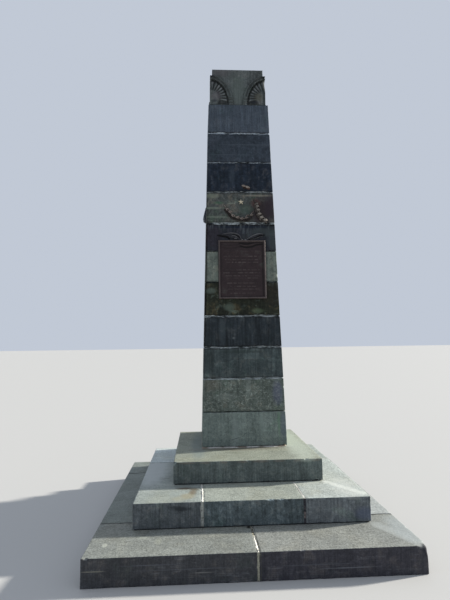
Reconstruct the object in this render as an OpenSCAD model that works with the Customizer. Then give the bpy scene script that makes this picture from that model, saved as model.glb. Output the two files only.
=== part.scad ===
/* [Base tier] */
// Width of the lowest tier, left to right
base_w = 2470; // [2300:10:2800]
// Depth of the lowest tier, front to back
base_d = 2600; // [2550:10:3000]
// Height of the lowest tier
base_h = 200; // [150:5:300]
// Width of the left stone of the front row
base_front_left_w = 1239; // [900:1:1500]
// Depth of the two front stones
base_front_row_d = 622; // [500:2:800]
// Depth of the two back stones
base_back_row_d = 507; // [400:1:700]
// Width of the side stones
base_side_w = 500; // [400:5:700]

/* [Middle tier] */
// Width of the middle tier
step_w = 1940; // [1840:10:2100]
// Depth of the middle tier
step_d = 1960; // [1920:10:2100]
// Height of the middle tier
step_h = 205; // [150:5:300]
// Tread left open in front of the middle tier
base_front_tread = 451; // [300:1:500]
// Tread left open at the left of the middle tier
base_left_tread = 290; // [100:1:310]
// Width of the left stone of the middle tier
step_left_w = 557; // [450:1:650]
// Width of the right stone of the middle tier
step_right_w = 549; // [450:1:650]
// Depth of the front corner stones of the middle tier
step_corner_d = 1260; // [1000:5:1300]
// Depth of the front stone between the corners
step_center_d = 620; // [500:5:640]
// How far the core runs back past the joint behind the corner stones
core_bond = 80; // [40:5:120]

/* [Top slab] */
// Width of the top slab
slab_w = 1370; // [1300:5:1450]
// Depth of the top slab
slab_d = 1450; // [1440:5:1480]
// Height of the top slab
slab_h = 200; // [150:5:300]
// Tread left open in front of the top slab
step_front_tread = 452; // [400:1:480]
// Tread left open at the left of the top slab
step_left_tread = 299; // [200:1:360]

/* [Shaft] */
// Width of each side of the shaft at its foot
shaft_foot_w = 888; // [800:2:900]
// Width of each side of the shaft under the capital
shaft_head_w = 681; // [640:2:760]
// Tread left open in front of the shaft
shaft_front_tread = 538; // [400:1:540]
// Tread left open at the left of the shaft
shaft_left_tread = 262; // [150:1:330]
// Heights of the shaft courses from the foot up
course_h = [358, 342, 328, 330, 371, 341, 311, 358, 342, 346, 352]; // [250:1:450]

/* [Capital] */
// Width of the capital under its shoulder
capital_w = 640; // [620:2:660]
// Height of the carved part of the capital
capital_h = 362; // [350:2:400]
// Width of the crown, and between the plain faces under it
crown_w = 588; // [560:2:592]
// Height of the crown
crown_h = 85; // [40:1:120]
// Half width of each carved fan
fan_w = 268; // [250:2:290]
// Height of each carved fan
fan_h = 352; // [330:2:356]
// Width of the moulding round each fan
fan_border = 54; // [40:2:64]
// Number of ribs in each fan
fan_ribs = 8; // [5:1:9]
// Depth of the carving
carving_depth = 24; // [16:1:24]

/* [Plaque] */
// Width of the plaque
plaque_w = 518; // [400:2:540]
// Height of the plaque
plaque_h = 646; // [500:2:650]
// Thickness of the plaque at its frame
plaque_t = 26; // [16:1:40]
// Width of the plaque's frame
plaque_frame_w = 26; // [16:1:40]
// Depth of the plaque's field under its frame
plaque_field_depth = 12; // [6:1:14]
// Height of the plaque's lower edge above the foot of the shaft
plaque_rise = 1543; // [1500:1:1545]
// How far the plaque, the wings and the star sit right of the shaft's middle
ornament_shift = 8; // [0:1:20]

/* [Wings and star] */
// Span of the spread wings above the plaque
wing_span = 506; // [400:2:540]
// Height of the wing tips above the boss between the wings
wing_tip_rise = 46; // [30:1:60]
// How steeply the longest feathers rise from the boss
wing_crest = 105; // [80:1:130]
// Width of one feather
feather_w = 14; // [10:1:18]
// Thickness of the spread wings
wing_t = 22; // [14:1:30]
// Width of the star from point to point
star_w = 68; // [50:1:90]
// Thickness of the star
star_t = 16; // [10:1:24]
// Height of the star's centre above its course's lower bed
star_rise = 242; // [220:1:260]

/* [Garlands] */
// Half width of the hanging arc
arc_half_w = 174; // [150:2:190]
// How far the arc hangs below its ends
arc_drop = 142; // [110:2:160]
// Height of the arc's ends above its course's lower bed
arc_rise = 200; // [180:2:220]
// Height of the same ends on the left face
side_arc_rise = 250; // [200:2:270]
// Distance of the upright branch from the shaft's middle
branch_x = 174; // [172:1:190]
// How far the branch would curve outwards by its lowest point
branch_out = 112; // [90:2:120]
// How far the branch hangs
branch_drop = 172; // [130:2:178]
// Thickness of the garland's stem
garland_stem_t = 16; // [10:1:20]
// Length of one garland leaf
leaf_l = 46; // [30:1:50]
// Width of one garland leaf
leaf_w = 20; // [12:1:26]
// Thickness of one garland leaf
leaf_t = 18; // [12:1:26]
// Thickness of the garland on the left face
side_leaf_t = 28; // [16:1:32]

/* [Joints and wear] */
// Width of the narrow upright joints
joint_t = 12; // [6:1:16]
// Width of the wide upright joint in the middle tier
wide_joint_t = 20; // [12:1:26]
// Thickness of the beds between the shaft courses
bed_t = 8; // [4:1:14]
// Thickness of the beds under the middle tier and the top slab
tier_bed_t = 6; // [4:1:12]
// Thickness of the mortar bed at the foot of the shaft
foot_bed_t = 8; // [6:1:20]
// How far the foot bed spreads out past the shaft
foot_bed_lip = 45; // [20:1:60]
// How far the mortar lies back from the stone faces
pointing_recess = 5; // [2:1:10]
// Worn bevel on the edges of the stones
arris = 6; // [2:1:10]
// Size of the broken front left corner of the top slab
corner_chip = 34; // [16:1:60]

/* [Hidden] */
COURSES = len(course_h);

// Levels of the tiers
base_top = base_h;
step_top = base_top + step_h;
slab_top = step_top + slab_h;

// Outlines of the tiers in plan, each set off the tier below by its treads
base_x0 = -base_w / 2;
base_x1 = base_w / 2;
base_y0 = -base_d / 2;
base_y1 = base_d / 2;
step_x0 = base_x0 + base_left_tread;
step_x1 = step_x0 + step_w;
step_y0 = base_y0 + base_front_tread;
step_y1 = step_y0 + step_d;
slab_x0 = step_x0 + step_left_tread;
slab_x1 = slab_x0 + slab_w;
slab_y0 = step_y0 + step_front_tread;
slab_y1 = slab_y0 + slab_d;

// Joint lines of the lowest tier
base_joint_x = base_x0 + base_front_left_w;
base_front_y = base_y0 + base_front_row_d;
base_back_y = base_y1 - base_back_row_d;

// Joint lines of the middle tier
step_left_x = step_x0 + step_left_w;
step_right_x = step_x1 - step_right_w;
step_corner_y = step_y0 + step_corner_d;
step_inner_y0 = step_y0 + step_center_d;
step_inner_y1 = step_corner_y + core_bond;

// The shaft tapers evenly from its foot to the capital
function rise(k) = k == 0 ? 0 : course_h[k - 1] + rise(k - 1);
function joint_z(k) = slab_top + rise(k);
shaft_h = rise(COURSES);
shaft_top = slab_top + shaft_h;
batter = (shaft_foot_w - shaft_head_w) / 2 / shaft_h;
batter_angle = atan(batter);
shaft_cx = slab_x0 + shaft_left_tread + shaft_foot_w / 2;
shaft_cy = slab_y0 + shaft_front_tread + shaft_foot_w / 2;
function half_w(z) = shaft_foot_w / 2 - batter * (z - slab_top);

// Clearance between a fitted piece and its seat
seat_gap = 0.2;
// How far a cutting or crossing shape runs past what it cuts
past = 10;
// Tilt of a plane that cuts a corner evenly
corner_tilt = acos(1 / sqrt(3));
// Points used along a quarter of an ellipse
arc_steps = 16;
$fn = 48;

dark_stone = [0.22, 0.26, 0.27];
pale_stone = [0.46, 0.50, 0.48];
mortar_colour = [0.72, 0.69, 0.64];
fill_colour = [0.45, 0.44, 0.42];
bronze = [0.30, 0.22, 0.17];
pale_bronze = [0.62, 0.55, 0.42];

// Side outline of a block whose half widths are given at both ends
module outline(foot, head, z0, z1, bevel) {
    lean = (foot - head) / (z1 - z0);
    low = foot - lean * bevel;
    high = head + lean * bevel;
    polygon([[bevel - foot, z0], [foot - bevel, z0], [low, z0 + bevel], [high, z1 - bevel],
             [head - bevel, z1], [bevel - head, z1], [-high, z1 - bevel], [-low, z0 + bevel]]);
}

// Square block with worn edges that narrows from one half width to another
module square_block(foot, head, z0, z1, bevel) {
    intersection() {
        rotate([90, 0, 0]) linear_extrude(2 * foot + past, center = true)
            outline(foot, head, z0, z1, bevel);
        rotate([90, 0, 90]) linear_extrude(2 * foot + past, center = true)
            outline(foot, head, z0, z1, bevel);
    }
}

// Paving stone between two corners, with worn edges
module stone(x0, y0, x1, y1, z0, z1) {
    half_x = (x1 - x0) / 2;
    half_y = (y1 - y0) / 2;
    translate([x0 + half_x, y0 + half_y, 0]) intersection() {
        rotate([90, 0, 0]) linear_extrude(2 * half_y, center = true)
            outline(half_x, half_x, z0, z1, arris);
        rotate([90, 0, 90]) linear_extrude(2 * half_x, center = true)
            outline(half_y, half_y, z0, z1, arris);
    }
}

// Plain box between two corners
module block(x0, y0, z0, x1, y1, z1) {
    translate([x0, y0, z0]) cube([x1 - x0, y1 - y0, z1 - z0]);
}

// Plane cut across an upper corner, aimed by its compass angle
module corner_break(size, heading) {
    reach = 10 * size;
    rotate([0, corner_tilt, heading]) translate([-reach / 2, -reach / 2, -size / 2])
        cube(reach);
}

// Lowest tier
module base_stone(x0, y0, x1, y1) {
    color(pale_stone) stone(x0, y0, x1, y1, 0, base_top);
}

module base_front_left() {
    base_stone(base_x0, base_y0, base_joint_x - joint_t / 2, base_front_y - joint_t / 2);
}

module base_front_right() {
    difference() {
        base_stone(base_joint_x + joint_t / 2, base_y0, base_x1, base_front_y - joint_t / 2);
        translate([base_x1, base_y0, base_top]) corner_break(corner_chip, -45);
    }
}

module base_side_left() {
    base_stone(base_x0, base_front_y + joint_t / 2, base_x0 + base_side_w, base_back_y - joint_t / 2);
}

module base_side_right() {
    base_stone(base_x1 - base_side_w, base_front_y + joint_t / 2, base_x1, base_back_y - joint_t / 2);
}

module base_back_left() {
    base_stone(base_x0, base_back_y + joint_t / 2, base_joint_x - joint_t / 2, base_y1);
}

module base_back_right() {
    base_stone(base_joint_x + joint_t / 2, base_back_y + joint_t / 2, base_x1, base_y1);
}

module base_core() {
    color(fill_colour)
        block(base_x0 + base_side_w, base_front_y - joint_t / 2, 0,
              base_x1 - base_side_w, base_back_y + joint_t / 2, base_top);
}

module base_mortar() {
    top = base_top - pointing_recess;
    color(mortar_colour) {
        block(base_joint_x - joint_t / 2, base_y0 + pointing_recess, arris,
              base_joint_x + joint_t / 2, base_front_y - joint_t / 2, top);
        block(base_joint_x - joint_t / 2, base_back_y + joint_t / 2, arris,
              base_joint_x + joint_t / 2, base_y1 - pointing_recess, top);
        for (y = [base_front_y, base_back_y]) {
            block(base_x0 + pointing_recess, y - joint_t / 2, arris,
                  base_x0 + base_side_w, y + joint_t / 2, top);
            block(base_x1 - base_side_w, y - joint_t / 2, arris,
                  base_x1 - pointing_recess, y + joint_t / 2, top);
        }
    }
}

// Middle tier
module step_stone(x0, y0, x1, y1) {
    color(pale_stone) stone(x0, y0, x1, y1, base_top + tier_bed_t, step_top);
}

module step_front_left() {
    step_stone(step_x0, step_y0, step_left_x - wide_joint_t / 2, step_corner_y - joint_t / 2);
}

module step_front_center() {
    step_stone(step_left_x + wide_joint_t / 2, step_y0, step_right_x - joint_t / 2, step_inner_y0);
}

module step_front_right() {
    step_stone(step_right_x + joint_t / 2, step_y0, step_x1, step_corner_y - joint_t / 2);
}

module step_back_left() {
    step_stone(step_x0, step_corner_y + joint_t / 2, step_left_x - wide_joint_t / 2, step_y1);
}

module step_back_center() {
    step_stone(step_left_x + wide_joint_t / 2, step_inner_y1, step_right_x - joint_t / 2, step_y1);
}

module step_back_right() {
    step_stone(step_right_x + joint_t / 2, step_corner_y + joint_t / 2, step_x1, step_y1);
}

module step_core() {
    color(fill_colour)
        block(step_left_x - wide_joint_t / 2, step_inner_y0, base_top + tier_bed_t,
              step_right_x + joint_t / 2, step_inner_y1, step_top);
}

module step_mortar() {
    low = base_top + tier_bed_t + arris;
    top = step_top - pointing_recess;
    color(mortar_colour) {
        for (y = [[step_y0 + pointing_recess, step_inner_y0], [step_inner_y1, step_y1 - pointing_recess]]) {
            block(step_left_x - wide_joint_t / 2, y[0], low, step_left_x + wide_joint_t / 2, y[1], top);
            block(step_right_x - joint_t / 2, y[0], low, step_right_x + joint_t / 2, y[1], top);
        }
        block(step_x0 + pointing_recess, step_corner_y - joint_t / 2, low,
              step_left_x - wide_joint_t / 2, step_corner_y + joint_t / 2, top);
        block(step_right_x + joint_t / 2, step_corner_y - joint_t / 2, low,
              step_x1 - pointing_recess, step_corner_y + joint_t / 2, top);
    }
}

// Beds of mortar under the middle tier and under the top slab
module tier_beds() {
    inset = 2 * arris;
    color(mortar_colour) {
        block(step_x0 + inset, step_y0 + inset, base_top,
              step_x1 - inset, step_y1 - inset, base_top + tier_bed_t);
        block(slab_x0 + inset, slab_y0 + inset, step_top,
              slab_x1 - inset, slab_y1 - inset, step_top + tier_bed_t);
    }
}

module top_slab() {
    difference() {
        color(pale_stone) stone(slab_x0, slab_y0, slab_x1, slab_y1, step_top + tier_bed_t, slab_top);
        translate([slab_x0, slab_y0, slab_top]) corner_break(corner_chip, -135);
    }
}

// Shaft
module at_shaft() {
    translate([shaft_cx, shaft_cy, 0]) children();
}

// Puts a flat shape on a face of the shaft at a height, with its back on the stone
module on_face(z, turn) {
    at_shaft() rotate([0, 0, turn]) translate([0, -half_w(z), z])
        rotate([90 - batter_angle, 0, 0]) translate([0, 0, seat_gap]) children();
}

// Fillet of mortar that the shaft stands in, which stays on the slab where the slab ends close behind
module foot_bed() {
    foot = shaft_foot_w / 2;
    color(mortar_colour) intersection() {
        at_shaft() square_block(foot + foot_bed_lip, foot + arris, slab_top, slab_top + foot_bed_t,
                                foot_bed_t / 4);
        block(slab_x0 + arris, slab_y0 + arris, base_top, slab_x1 - arris, slab_y1 - arris, shaft_top);
    }
}

module course(k) {
    z0 = joint_z(k - 1) + (k == 1 ? foot_bed_t : bed_t / 2);
    z1 = joint_z(k) - bed_t / 2;
    color(dark_stone) at_shaft() square_block(half_w(z0), half_w(z1), z0, z1, arris);
}

module shaft_beds() {
    color(mortar_colour) at_shaft() for (k = [1:COURSES]) {
        stone_w = k == COURSES ? min(shaft_head_w, capital_w) : 2 * half_w(joint_z(k));
        spread = stone_w - 2 * pointing_recess;
        translate([0, 0, joint_z(k)]) cube([spread, spread, bed_t], center = true);
    }
}

// Capital, cut from one stone, with a ribbed fan wrapped round each corner
capital_foot = shaft_top + bed_t / 2;
shoulder_z = shaft_top + capital_h;
fan_rise = 10;
fan_in_w = fan_w - fan_border;
fan_in_h = fan_h - 0.85 * fan_border;
groove_depth = carving_depth / 3;
// Point that the ribs of a fan run from, in the corner of the fan, and the smooth hub round it
hub_x = 9;
hub_y = 72;
hub_r = 86;
hub_depth = 3;
rib_from = -12;
rib_step = (90 - rib_from) / fan_ribs;
// Distance from that point at which the ground of a fan is at its deepest
ground_r = fan_in_h - hub_y;
function ground_depth(r) = hub_depth + (carving_depth - hub_depth) * (r - hub_r) / (ground_r - hub_r);

// Quarter of an ellipse in the corner of the axes
module quarter(a, b) {
    polygon(concat([[0, 0]],
        [for (i = [0:arc_steps]) [a * cos(90 * i / arc_steps), b * sin(90 * i / arc_steps)]]));
}

// Shape drawn from the lower left corner of a carved face, cut to a depth
module carve(depth) {
    translate([-capital_w / 2, -capital_w / 2 - past, capital_foot]) rotate([90, 0, 0])
        mirror([0, 0, 1]) linear_extrude(depth + past) translate([0, fan_rise]) children();
}

// Funnel between the two fans of a face, open at the top
module funnel() {
    difference() {
        square([capital_w / 2, capital_h]);
        quarter(fan_w, fan_h);
    }
}

// Hollow between the two rolls of the moulding, and the grooves that cross its foot
module moulding_cuts() {
    side = fan_border / 4;
    bands = 4;
    pitch = 19;
    groove = 7;
    difference() {
        quarter(fan_w - side, fan_h - side);
        quarter(fan_in_w + side, fan_in_h + side);
        square([fan_w, (bands + 1) * pitch]);
    }
    for (i = [1:bands]) translate([fan_in_w - side, i * pitch - groove / 2])
        square([fan_border + side, groove]);
}

// Ground of a fan, which sinks evenly from the hub out to the moulding
module fan_ground() {
    fall = carving_depth - hub_depth;
    wide_r = hub_r + (fall + past) * (ground_r - hub_r) / fall;
    difference() {
        carve(carving_depth) quarter(fan_in_w, fan_in_h);
        translate([hub_x - capital_w / 2, hub_depth - capital_w / 2, capital_foot + fan_rise + hub_y])
            rotate([-90, 0, 0]) cylinder(h = fall + past, r1 = hub_r, r2 = wide_r);
    }
}

// Distance from the hub's centre to the moulding in a direction
function fan_reach(angle) =
    let (c = cos(angle), s = sin(angle), a = pow(fan_in_w, 2), b = pow(fan_in_h, 2),
         p = c * c / a + s * s / b, q = hub_x * c / a + hub_y * s / b,
         w = hub_x * hub_x / a + hub_y * hub_y / b - 1)
    (sqrt(q * q - p * w) - q) / p;

// Round rib from the hub out to the moulding, half sunk in the ground of the fan
module fan_rib(angle) {
    sunk = 0.4;
    reach = fan_reach(angle);
    tip_r = 0.36 * reach * rib_step * PI / 180;
    root_r = tip_r / 4;
    run = reach - tip_r - hub_r;
    root_depth = hub_depth + sunk * root_r;
    drop = ground_depth(hub_r + run) + sunk * tip_r - root_depth;
    length = norm([run, drop]);
    translate([hub_x - capital_w / 2, root_depth - capital_w / 2, capital_foot + fan_rise + hub_y])
        rotate([0, 90 - angle, 0]) translate([0, 0, hub_r]) rotate([-atan2(drop, run), 0, 0]) {
            cylinder(h = length, r1 = root_r, r2 = tip_r);
            translate([0, 0, length]) sphere(tip_r);
        }
}

// The ribs of both fans that meet at one corner, which share the rib on the corner
module corner_ribs() {
    for (i = [0:fan_ribs - 1]) fan_rib(rib_from + rib_step * (i + 0.5));
    mirror([1, -1, 0]) for (i = [0:fan_ribs - 2]) fan_rib(rib_from + rib_step * (i + 0.5));
}

module capital() {
    half = capital_w / 2;
    plain = crown_w / 2;
    color(dark_stone) at_shaft() {
        square_block(plain, plain, capital_foot, shoulder_z + crown_h, arris);
        difference() {
            square_block(half, half, capital_foot, shoulder_z, arris);
            for (turn = [0:90:270], side = [0, 1]) rotate([0, 0, turn]) mirror([side, 0, 0]) {
                carve(half - plain + past / 2) funnel();
                carve(groove_depth) moulding_cuts();
                fan_ground();
            }
        }
        for (turn = [0:90:270]) rotate([0, 0, turn]) corner_ribs();
    }
}

// Plaque, cast in one piece with its raised frame
module plaque() {
    z = slab_top + plaque_rise;
    bevel = plaque_frame_w / 3;
    color(bronze) on_face(z, 0) translate([ornament_shift - plaque_w / 2, 0, 0]) difference() {
        cube([plaque_w, plaque_h, plaque_t]);
        translate([plaque_frame_w, plaque_frame_w, plaque_t - plaque_field_depth])
            cube([plaque_w - 2 * plaque_frame_w, plaque_h - 2 * plaque_frame_w, plaque_field_depth + past]);
        translate([bevel, bevel, plaque_t - plaque_field_depth / 3])
            cube([plaque_w - 2 * bevel, plaque_h - 2 * bevel, plaque_field_depth]);
    }
}

// Outline of a pointed leaf from the origin along +X
module leaf(l, w) {
    side_steps = 6;
    polygon(concat(
        [for (i = [0:side_steps]) [l * i / side_steps, -w / 2 * sin(180 * i / side_steps)]],
        [for (i = [side_steps - 1:-1:1]) [l * i / side_steps, w / 2 * sin(180 * i / side_steps)]]));
}

// Curved feather from the origin to its tip, which rises steeply and then levels out
module feather(tip, crest, t) {
    side_steps = 8;
    function middle(s) = [tip[0] * s, crest * (1 - pow(1 - s, 3)) - (crest - tip[1]) * s];
    function half(s) = [0, feather_w / 2 * sqrt(1 - pow(s, 6))];
    linear_extrude(t) polygon(concat(
        [for (i = [0:side_steps]) middle(i / side_steps) - half(i / side_steps)],
        [for (i = [side_steps - 1:-1:0]) middle(i / side_steps) + half(i / side_steps)]));
}

// Spread wings over the plaque, joined by a round boss, with shorter and thinner feathers below
module spread_wings() {
    feathers = 5;
    shortest = 0.42;
    flattest = 0.32;
    thinnest = 0.55;
    boss_r = 12;
    function share(i, last) = 1 - (1 - last) * i / (feathers - 1);
    color(bronze) on_face(slab_top + plaque_rise + plaque_h, 0)
        translate([ornament_shift, boss_r + seat_gap, 0]) {
            cylinder(h = wing_t, r = boss_r);
            for (side = [0, 1], i = [0:feathers - 1]) mirror([side, 0, 0])
                feather([wing_span / 2 * share(i, shortest), wing_tip_rise * share(i, 0)],
                        wing_crest * share(i, flattest), wing_t * share(i, thinnest));
        }
}

// Point of the star's outline, long and short by turns
function star_point(i) = (i % 2 == 0 ? star_w / 2 : star_w / 5) * [sin(36 * i), cos(36 * i)];

module star() {
    rim = star_t / 4;
    points = concat(
        [for (i = [0:9]) [star_point(i)[0], star_point(i)[1], 0]],
        [for (i = [0:9]) [star_point(i)[0], star_point(i)[1], rim]],
        [[0, 0, star_t]]);
    faces = concat([[for (i = [0:9]) i]],
        [for (i = [0:9]) [i, i + 10, (i + 1) % 10 + 10, (i + 1) % 10]],
        [for (i = [0:9]) [i + 10, 20, (i + 1) % 10 + 10]]);
    color(pale_bronze) on_face(joint_z(7) + star_rise, 0) translate([ornament_shift, 0, 0])
        polyhedron(points, faces);
}

// Sprig that follows part of an ellipse between two angles, with leaves on both sides of its stem
module sprig(a, b, from, to, leaves, t) {
    spread_angle = 34;
    half = garland_stem_t / 2;
    span = (to - from) / leaves;
    function along(angle, out) = [(a + out) * cos(angle), (b + out) * sin(angle)];
    linear_extrude(t) {
        polygon(concat(
            [for (i = [0:leaves]) along(from + span * i, half)],
            [for (i = [leaves:-1:0]) along(from + span * i, -half)]));
        for (i = [0:leaves - 1], side = [-1, 1]) {
            here = along(from + span * (i + 0.1), 0);
            next = along(from + span * (i + 1), 0);
            heading = atan2(next[1] - here[1], next[0] - here[0]);
            translate(here) rotate(heading + spread_angle * side) leaf(leaf_l, leaf_w);
        }
    }
}

// Arc that hangs under the star, broken off short on the left
module garland_left() {
    broken_end = 194;
    branch_end = 320;
    color(bronze) on_face(joint_z(7), 0) translate([0, arc_rise, 0])
        sprig(arc_half_w, arc_drop, broken_end, branch_end, 10, leaf_t);
}

// Branch that hangs at the right of the arc
module garland_right() {
    upper_end = 182;
    lower_end = 252;
    color(bronze) on_face(joint_z(7), 0) translate([branch_x + branch_out, arc_rise, 0])
        sprig(branch_out, branch_drop, upper_end, lower_end, 7, leaf_t);
}

// Stub that a lost ornament left on the course above
module garland_remnant() {
    broken = [[22, 38], [44, 30], [71, 34], [104, 28], [112, 46], [92, 66], [66, 84], [48, 62], [30, 60]];
    color(bronze) on_face(joint_z(8), 0) linear_extrude(leaf_t / 2) polygon(broken);
}

// The same arc, whole, on the left face of the shaft
module side_garland() {
    end_lift = 4;
    color(bronze) on_face(joint_z(7), -90) translate([0, side_arc_rise, 0])
        sprig(arc_half_w, arc_drop, 180 + end_lift, 360 - end_lift, 14, side_leaf_t);
}

base_front_left();
base_front_right();
base_side_left();
base_side_right();
base_back_left();
base_back_right();
base_core();
base_mortar();
step_front_left();
step_front_center();
step_front_right();
step_back_left();
step_back_center();
step_back_right();
step_core();
step_mortar();
tier_beds();
top_slab();
foot_bed();
for (k = [1:COURSES]) course(k);
shaft_beds();
capital();
plaque();
spread_wings();
star();
garland_left();
garland_right();
garland_remnant();
side_garland();
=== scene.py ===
"""Stepped stone obelisk: weathered coursed shaft, carved capital, bronze plaque and ornaments."""

import math

import bpy
import numpy as np
from mathutils import Matrix, Vector
from mathutils.geometry import delaunay_2d_cdt


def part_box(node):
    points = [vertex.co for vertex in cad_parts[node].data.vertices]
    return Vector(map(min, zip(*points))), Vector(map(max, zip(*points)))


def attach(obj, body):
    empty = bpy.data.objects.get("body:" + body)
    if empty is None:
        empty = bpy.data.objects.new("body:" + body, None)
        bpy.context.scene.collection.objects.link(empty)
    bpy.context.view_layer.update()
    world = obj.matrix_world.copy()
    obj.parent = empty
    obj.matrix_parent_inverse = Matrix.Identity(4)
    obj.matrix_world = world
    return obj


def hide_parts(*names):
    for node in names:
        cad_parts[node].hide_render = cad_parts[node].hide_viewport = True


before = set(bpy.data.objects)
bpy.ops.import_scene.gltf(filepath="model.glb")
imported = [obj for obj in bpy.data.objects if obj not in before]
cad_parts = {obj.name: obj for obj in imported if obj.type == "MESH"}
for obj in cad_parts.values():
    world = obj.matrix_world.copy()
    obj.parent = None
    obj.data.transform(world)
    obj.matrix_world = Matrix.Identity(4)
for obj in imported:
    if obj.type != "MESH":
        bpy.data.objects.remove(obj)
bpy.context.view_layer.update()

# Places read from the frame, in metres
FRONT, LEFT = 0, 3
COURSES = sum(name.startswith("course_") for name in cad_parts)
foot_low, foot_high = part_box("course_1")
head_low, head_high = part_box(f"course_{COURSES}")
capital_low, capital_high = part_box("capital")
slab_low, slab_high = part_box("top_slab")
step_low, step_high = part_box("step_front_left")
base_low, base_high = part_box("base_front_left")
plaque_low, plaque_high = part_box("plaque")
AXIS_X, AXIS_Y = (foot_low.x + foot_high.x) / 2, (foot_low.y + foot_high.y) / 2
FOOT_HALF = (foot_high.x - foot_low.x) / 2
BATTER = (FOOT_HALF - (head_high.x - head_low.x) / 2) / (head_low.z - foot_low.z)


def half_width(z):
    """Half the width of the shaft at a height."""
    return FOOT_HALF - BATTER * (z - foot_low.z)


def joint_height(k):
    """Height of the joint on top of course k."""
    above = capital_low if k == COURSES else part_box(f"course_{k + 1}")[0]
    return (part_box(f"course_{k}")[1].z + above.z) / 2


def joint_x(left, right):
    """Place across of the upright joint between two stones."""
    return (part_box(left)[1].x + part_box(right)[0].x) / 2


# Noise for the meshes

def lattice(i, j, k, seed):
    """Repeatable random numbers from 0 to 1 at whole-number points."""
    h = i * 374761393 + j * 668265263 + k * 1442695041 + seed * 974711
    h = (h ^ (h >> 13)) * 1274126177
    h = h ^ (h >> 16)
    return (h & 0xFFFF) / 65535


def noise(points, scale, seed):
    """Smooth noise from 0 to 1; scale is in cells per metre."""
    q = points * scale
    cell = np.floor(q).astype(np.int64)
    f = q - cell
    f = f * f * (3 - 2 * f)
    total = np.zeros(len(q))
    for corner in range(8):
        step = np.array([corner & 1, corner >> 1 & 1, corner >> 2 & 1])
        weight = np.prod(np.where(step, f, 1 - f), axis=1)
        total += weight * lattice(*(cell + step).T, seed)
    return total


def fractal(points, scale, seed):
    """Noise from 0 to 1 in three layers, each finer and weaker than the one before."""
    layers = [noise(points, scale * 2.1 ** k, seed + 17 * k) * 0.5 ** k for k in range(3)]
    return sum(layers) / sum(0.5 ** k for k in range(3))


def smooth(x, low, high):
    """Eases from 0 at low to 1 at high."""
    t = np.clip((x - low) / (high - low), 0, 1)
    return t * t * (3 - 2 * t)


# Meshes

def add(name, data):
    """A new object in the scene."""
    made = bpy.data.objects.new(name, data)
    bpy.context.scene.collection.objects.link(made)
    return made


def make_piece(name, node, slot, material, points, faces, wear, painted_shade=None, sharp=False):
    """A mesh piece that rides on the one body and stands for a CAD node."""
    mesh = bpy.data.meshes.new(name)
    faces = faces.tolist() if isinstance(faces, np.ndarray) else faces
    mesh.from_pydata(np.asarray(points).tolist(), [], faces)
    mesh.validate()
    # Point attributes: worn edges with painted highlight, and painted shade.
    for layer, values in (("wear", wear), ("painted_shade", painted_shade)):
        if values is not None:
            layer = mesh.attributes.new(layer, "FLOAT", "POINT")
            layer.data.foreach_set("value", np.asarray(values, np.float32))
    mesh.polygons.foreach_set("use_smooth", [not sharp and p.loop_total < 9 for p in mesh.polygons])
    mesh.materials.append(material)
    piece = add(name, mesh)
    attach(piece, "root")
    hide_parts(node)


def even(start, end, step):
    """Evenly spaced values from start to end, about step apart."""
    return np.linspace(start, end, max(2, round((end - start) / step) + 1))


SHOWN_RINGS = ((0.0, 0.007), (0.0035, 0.007), (0.008, 0.009), (0.017, 0.014),
               (0.036, 0.026), (0.075, 0.05), (0.14, 0.07), (0.21, 0.08))
HIDDEN_RINGS = ((0.0, 0.007), (0.02, 0.03), (0.1, 0.1))


def face_grid(width, height, rings, core_step):
    """Points of a rectangle, close together at its border, and the triangles between them."""
    points = []
    for inset, step in rings:
        if min(width, height) < 2.3 * inset + 0.001:
            break
        xs, ys = even(inset, width - inset, step), even(inset, height - inset, step)
        points += [(x, y) for x in xs for y in (inset, height - inset)]
        points += [(x, y) for y in ys[1:-1] for x in (inset, width - inset)]
        last = inset
    core = last + core_step
    if min(width, height) > 2.3 * core:
        points += [(x, y) for x in even(core, width - core, core_step)
                   for y in even(core, height - core, core_step)]
    verts, _, triangles, *_ = delaunay_2d_cdt([Vector(p) for p in points], [], [], 0, 1e-7)
    return np.array([tuple(v) for v in verts]), np.array(triangles)


def box_surface(half, hidden, rings, core_step):
    """Points and triangles of a box centred on the origin; hidden lists (axis, side) of coarse faces."""
    points, triangles, count = [], [], 0
    for axis in range(3):
        u, v = (axis + 1) % 3, (axis + 2) % 3
        for side in (-1, 1):
            coarse = (axis, side) in hidden
            flat, faces = face_grid(2 * half[u], 2 * half[v], HIDDEN_RINGS if coarse else rings, core_step)
            p = np.empty((len(flat), 3))
            p[:, axis] = side * half[axis]
            p[:, u] = flat[:, 0] - half[u]
            p[:, v] = flat[:, 1] - half[v]
            triangles.append((faces if side > 0 else faces[:, ::-1]) + count)
            points.append(p)
            count += len(p)
    points = np.vstack(points)
    _, first, where = np.unique(np.round(points, 6), axis=0, return_index=True, return_inverse=True)
    triangles = where.reshape(-1)[np.vstack(triangles)]
    solid = (triangles[:, 0] != triangles[:, 1]) & (triangles[:, 1] != triangles[:, 2]) \
        & (triangles[:, 0] != triangles[:, 2])
    return points[first], triangles[solid]


def random_chips(rng, half, count, largest):
    """Round bites along the edges of a box: the centre, radius and paleness of each."""
    found = []
    for _ in range(count):
        axis = rng.choice(3, p=np.asarray(half) / sum(half))
        signs = rng.choice((-1, 1), size=3)
        spot = signs * half
        spot[axis] = rng.uniform(-1, 1) * half[axis]
        out = signs.astype(float)
        out[axis] = rng.uniform(-0.3, 0.3)
        out /= np.linalg.norm(out)
        depth = rng.uniform(0.3, 1) ** 2 * largest
        radius = depth * rng.uniform(1.8, 4)
        found.append((spot + out * (radius - depth), radius, rng.uniform(0.3, 0.9)))
    return found


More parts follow.
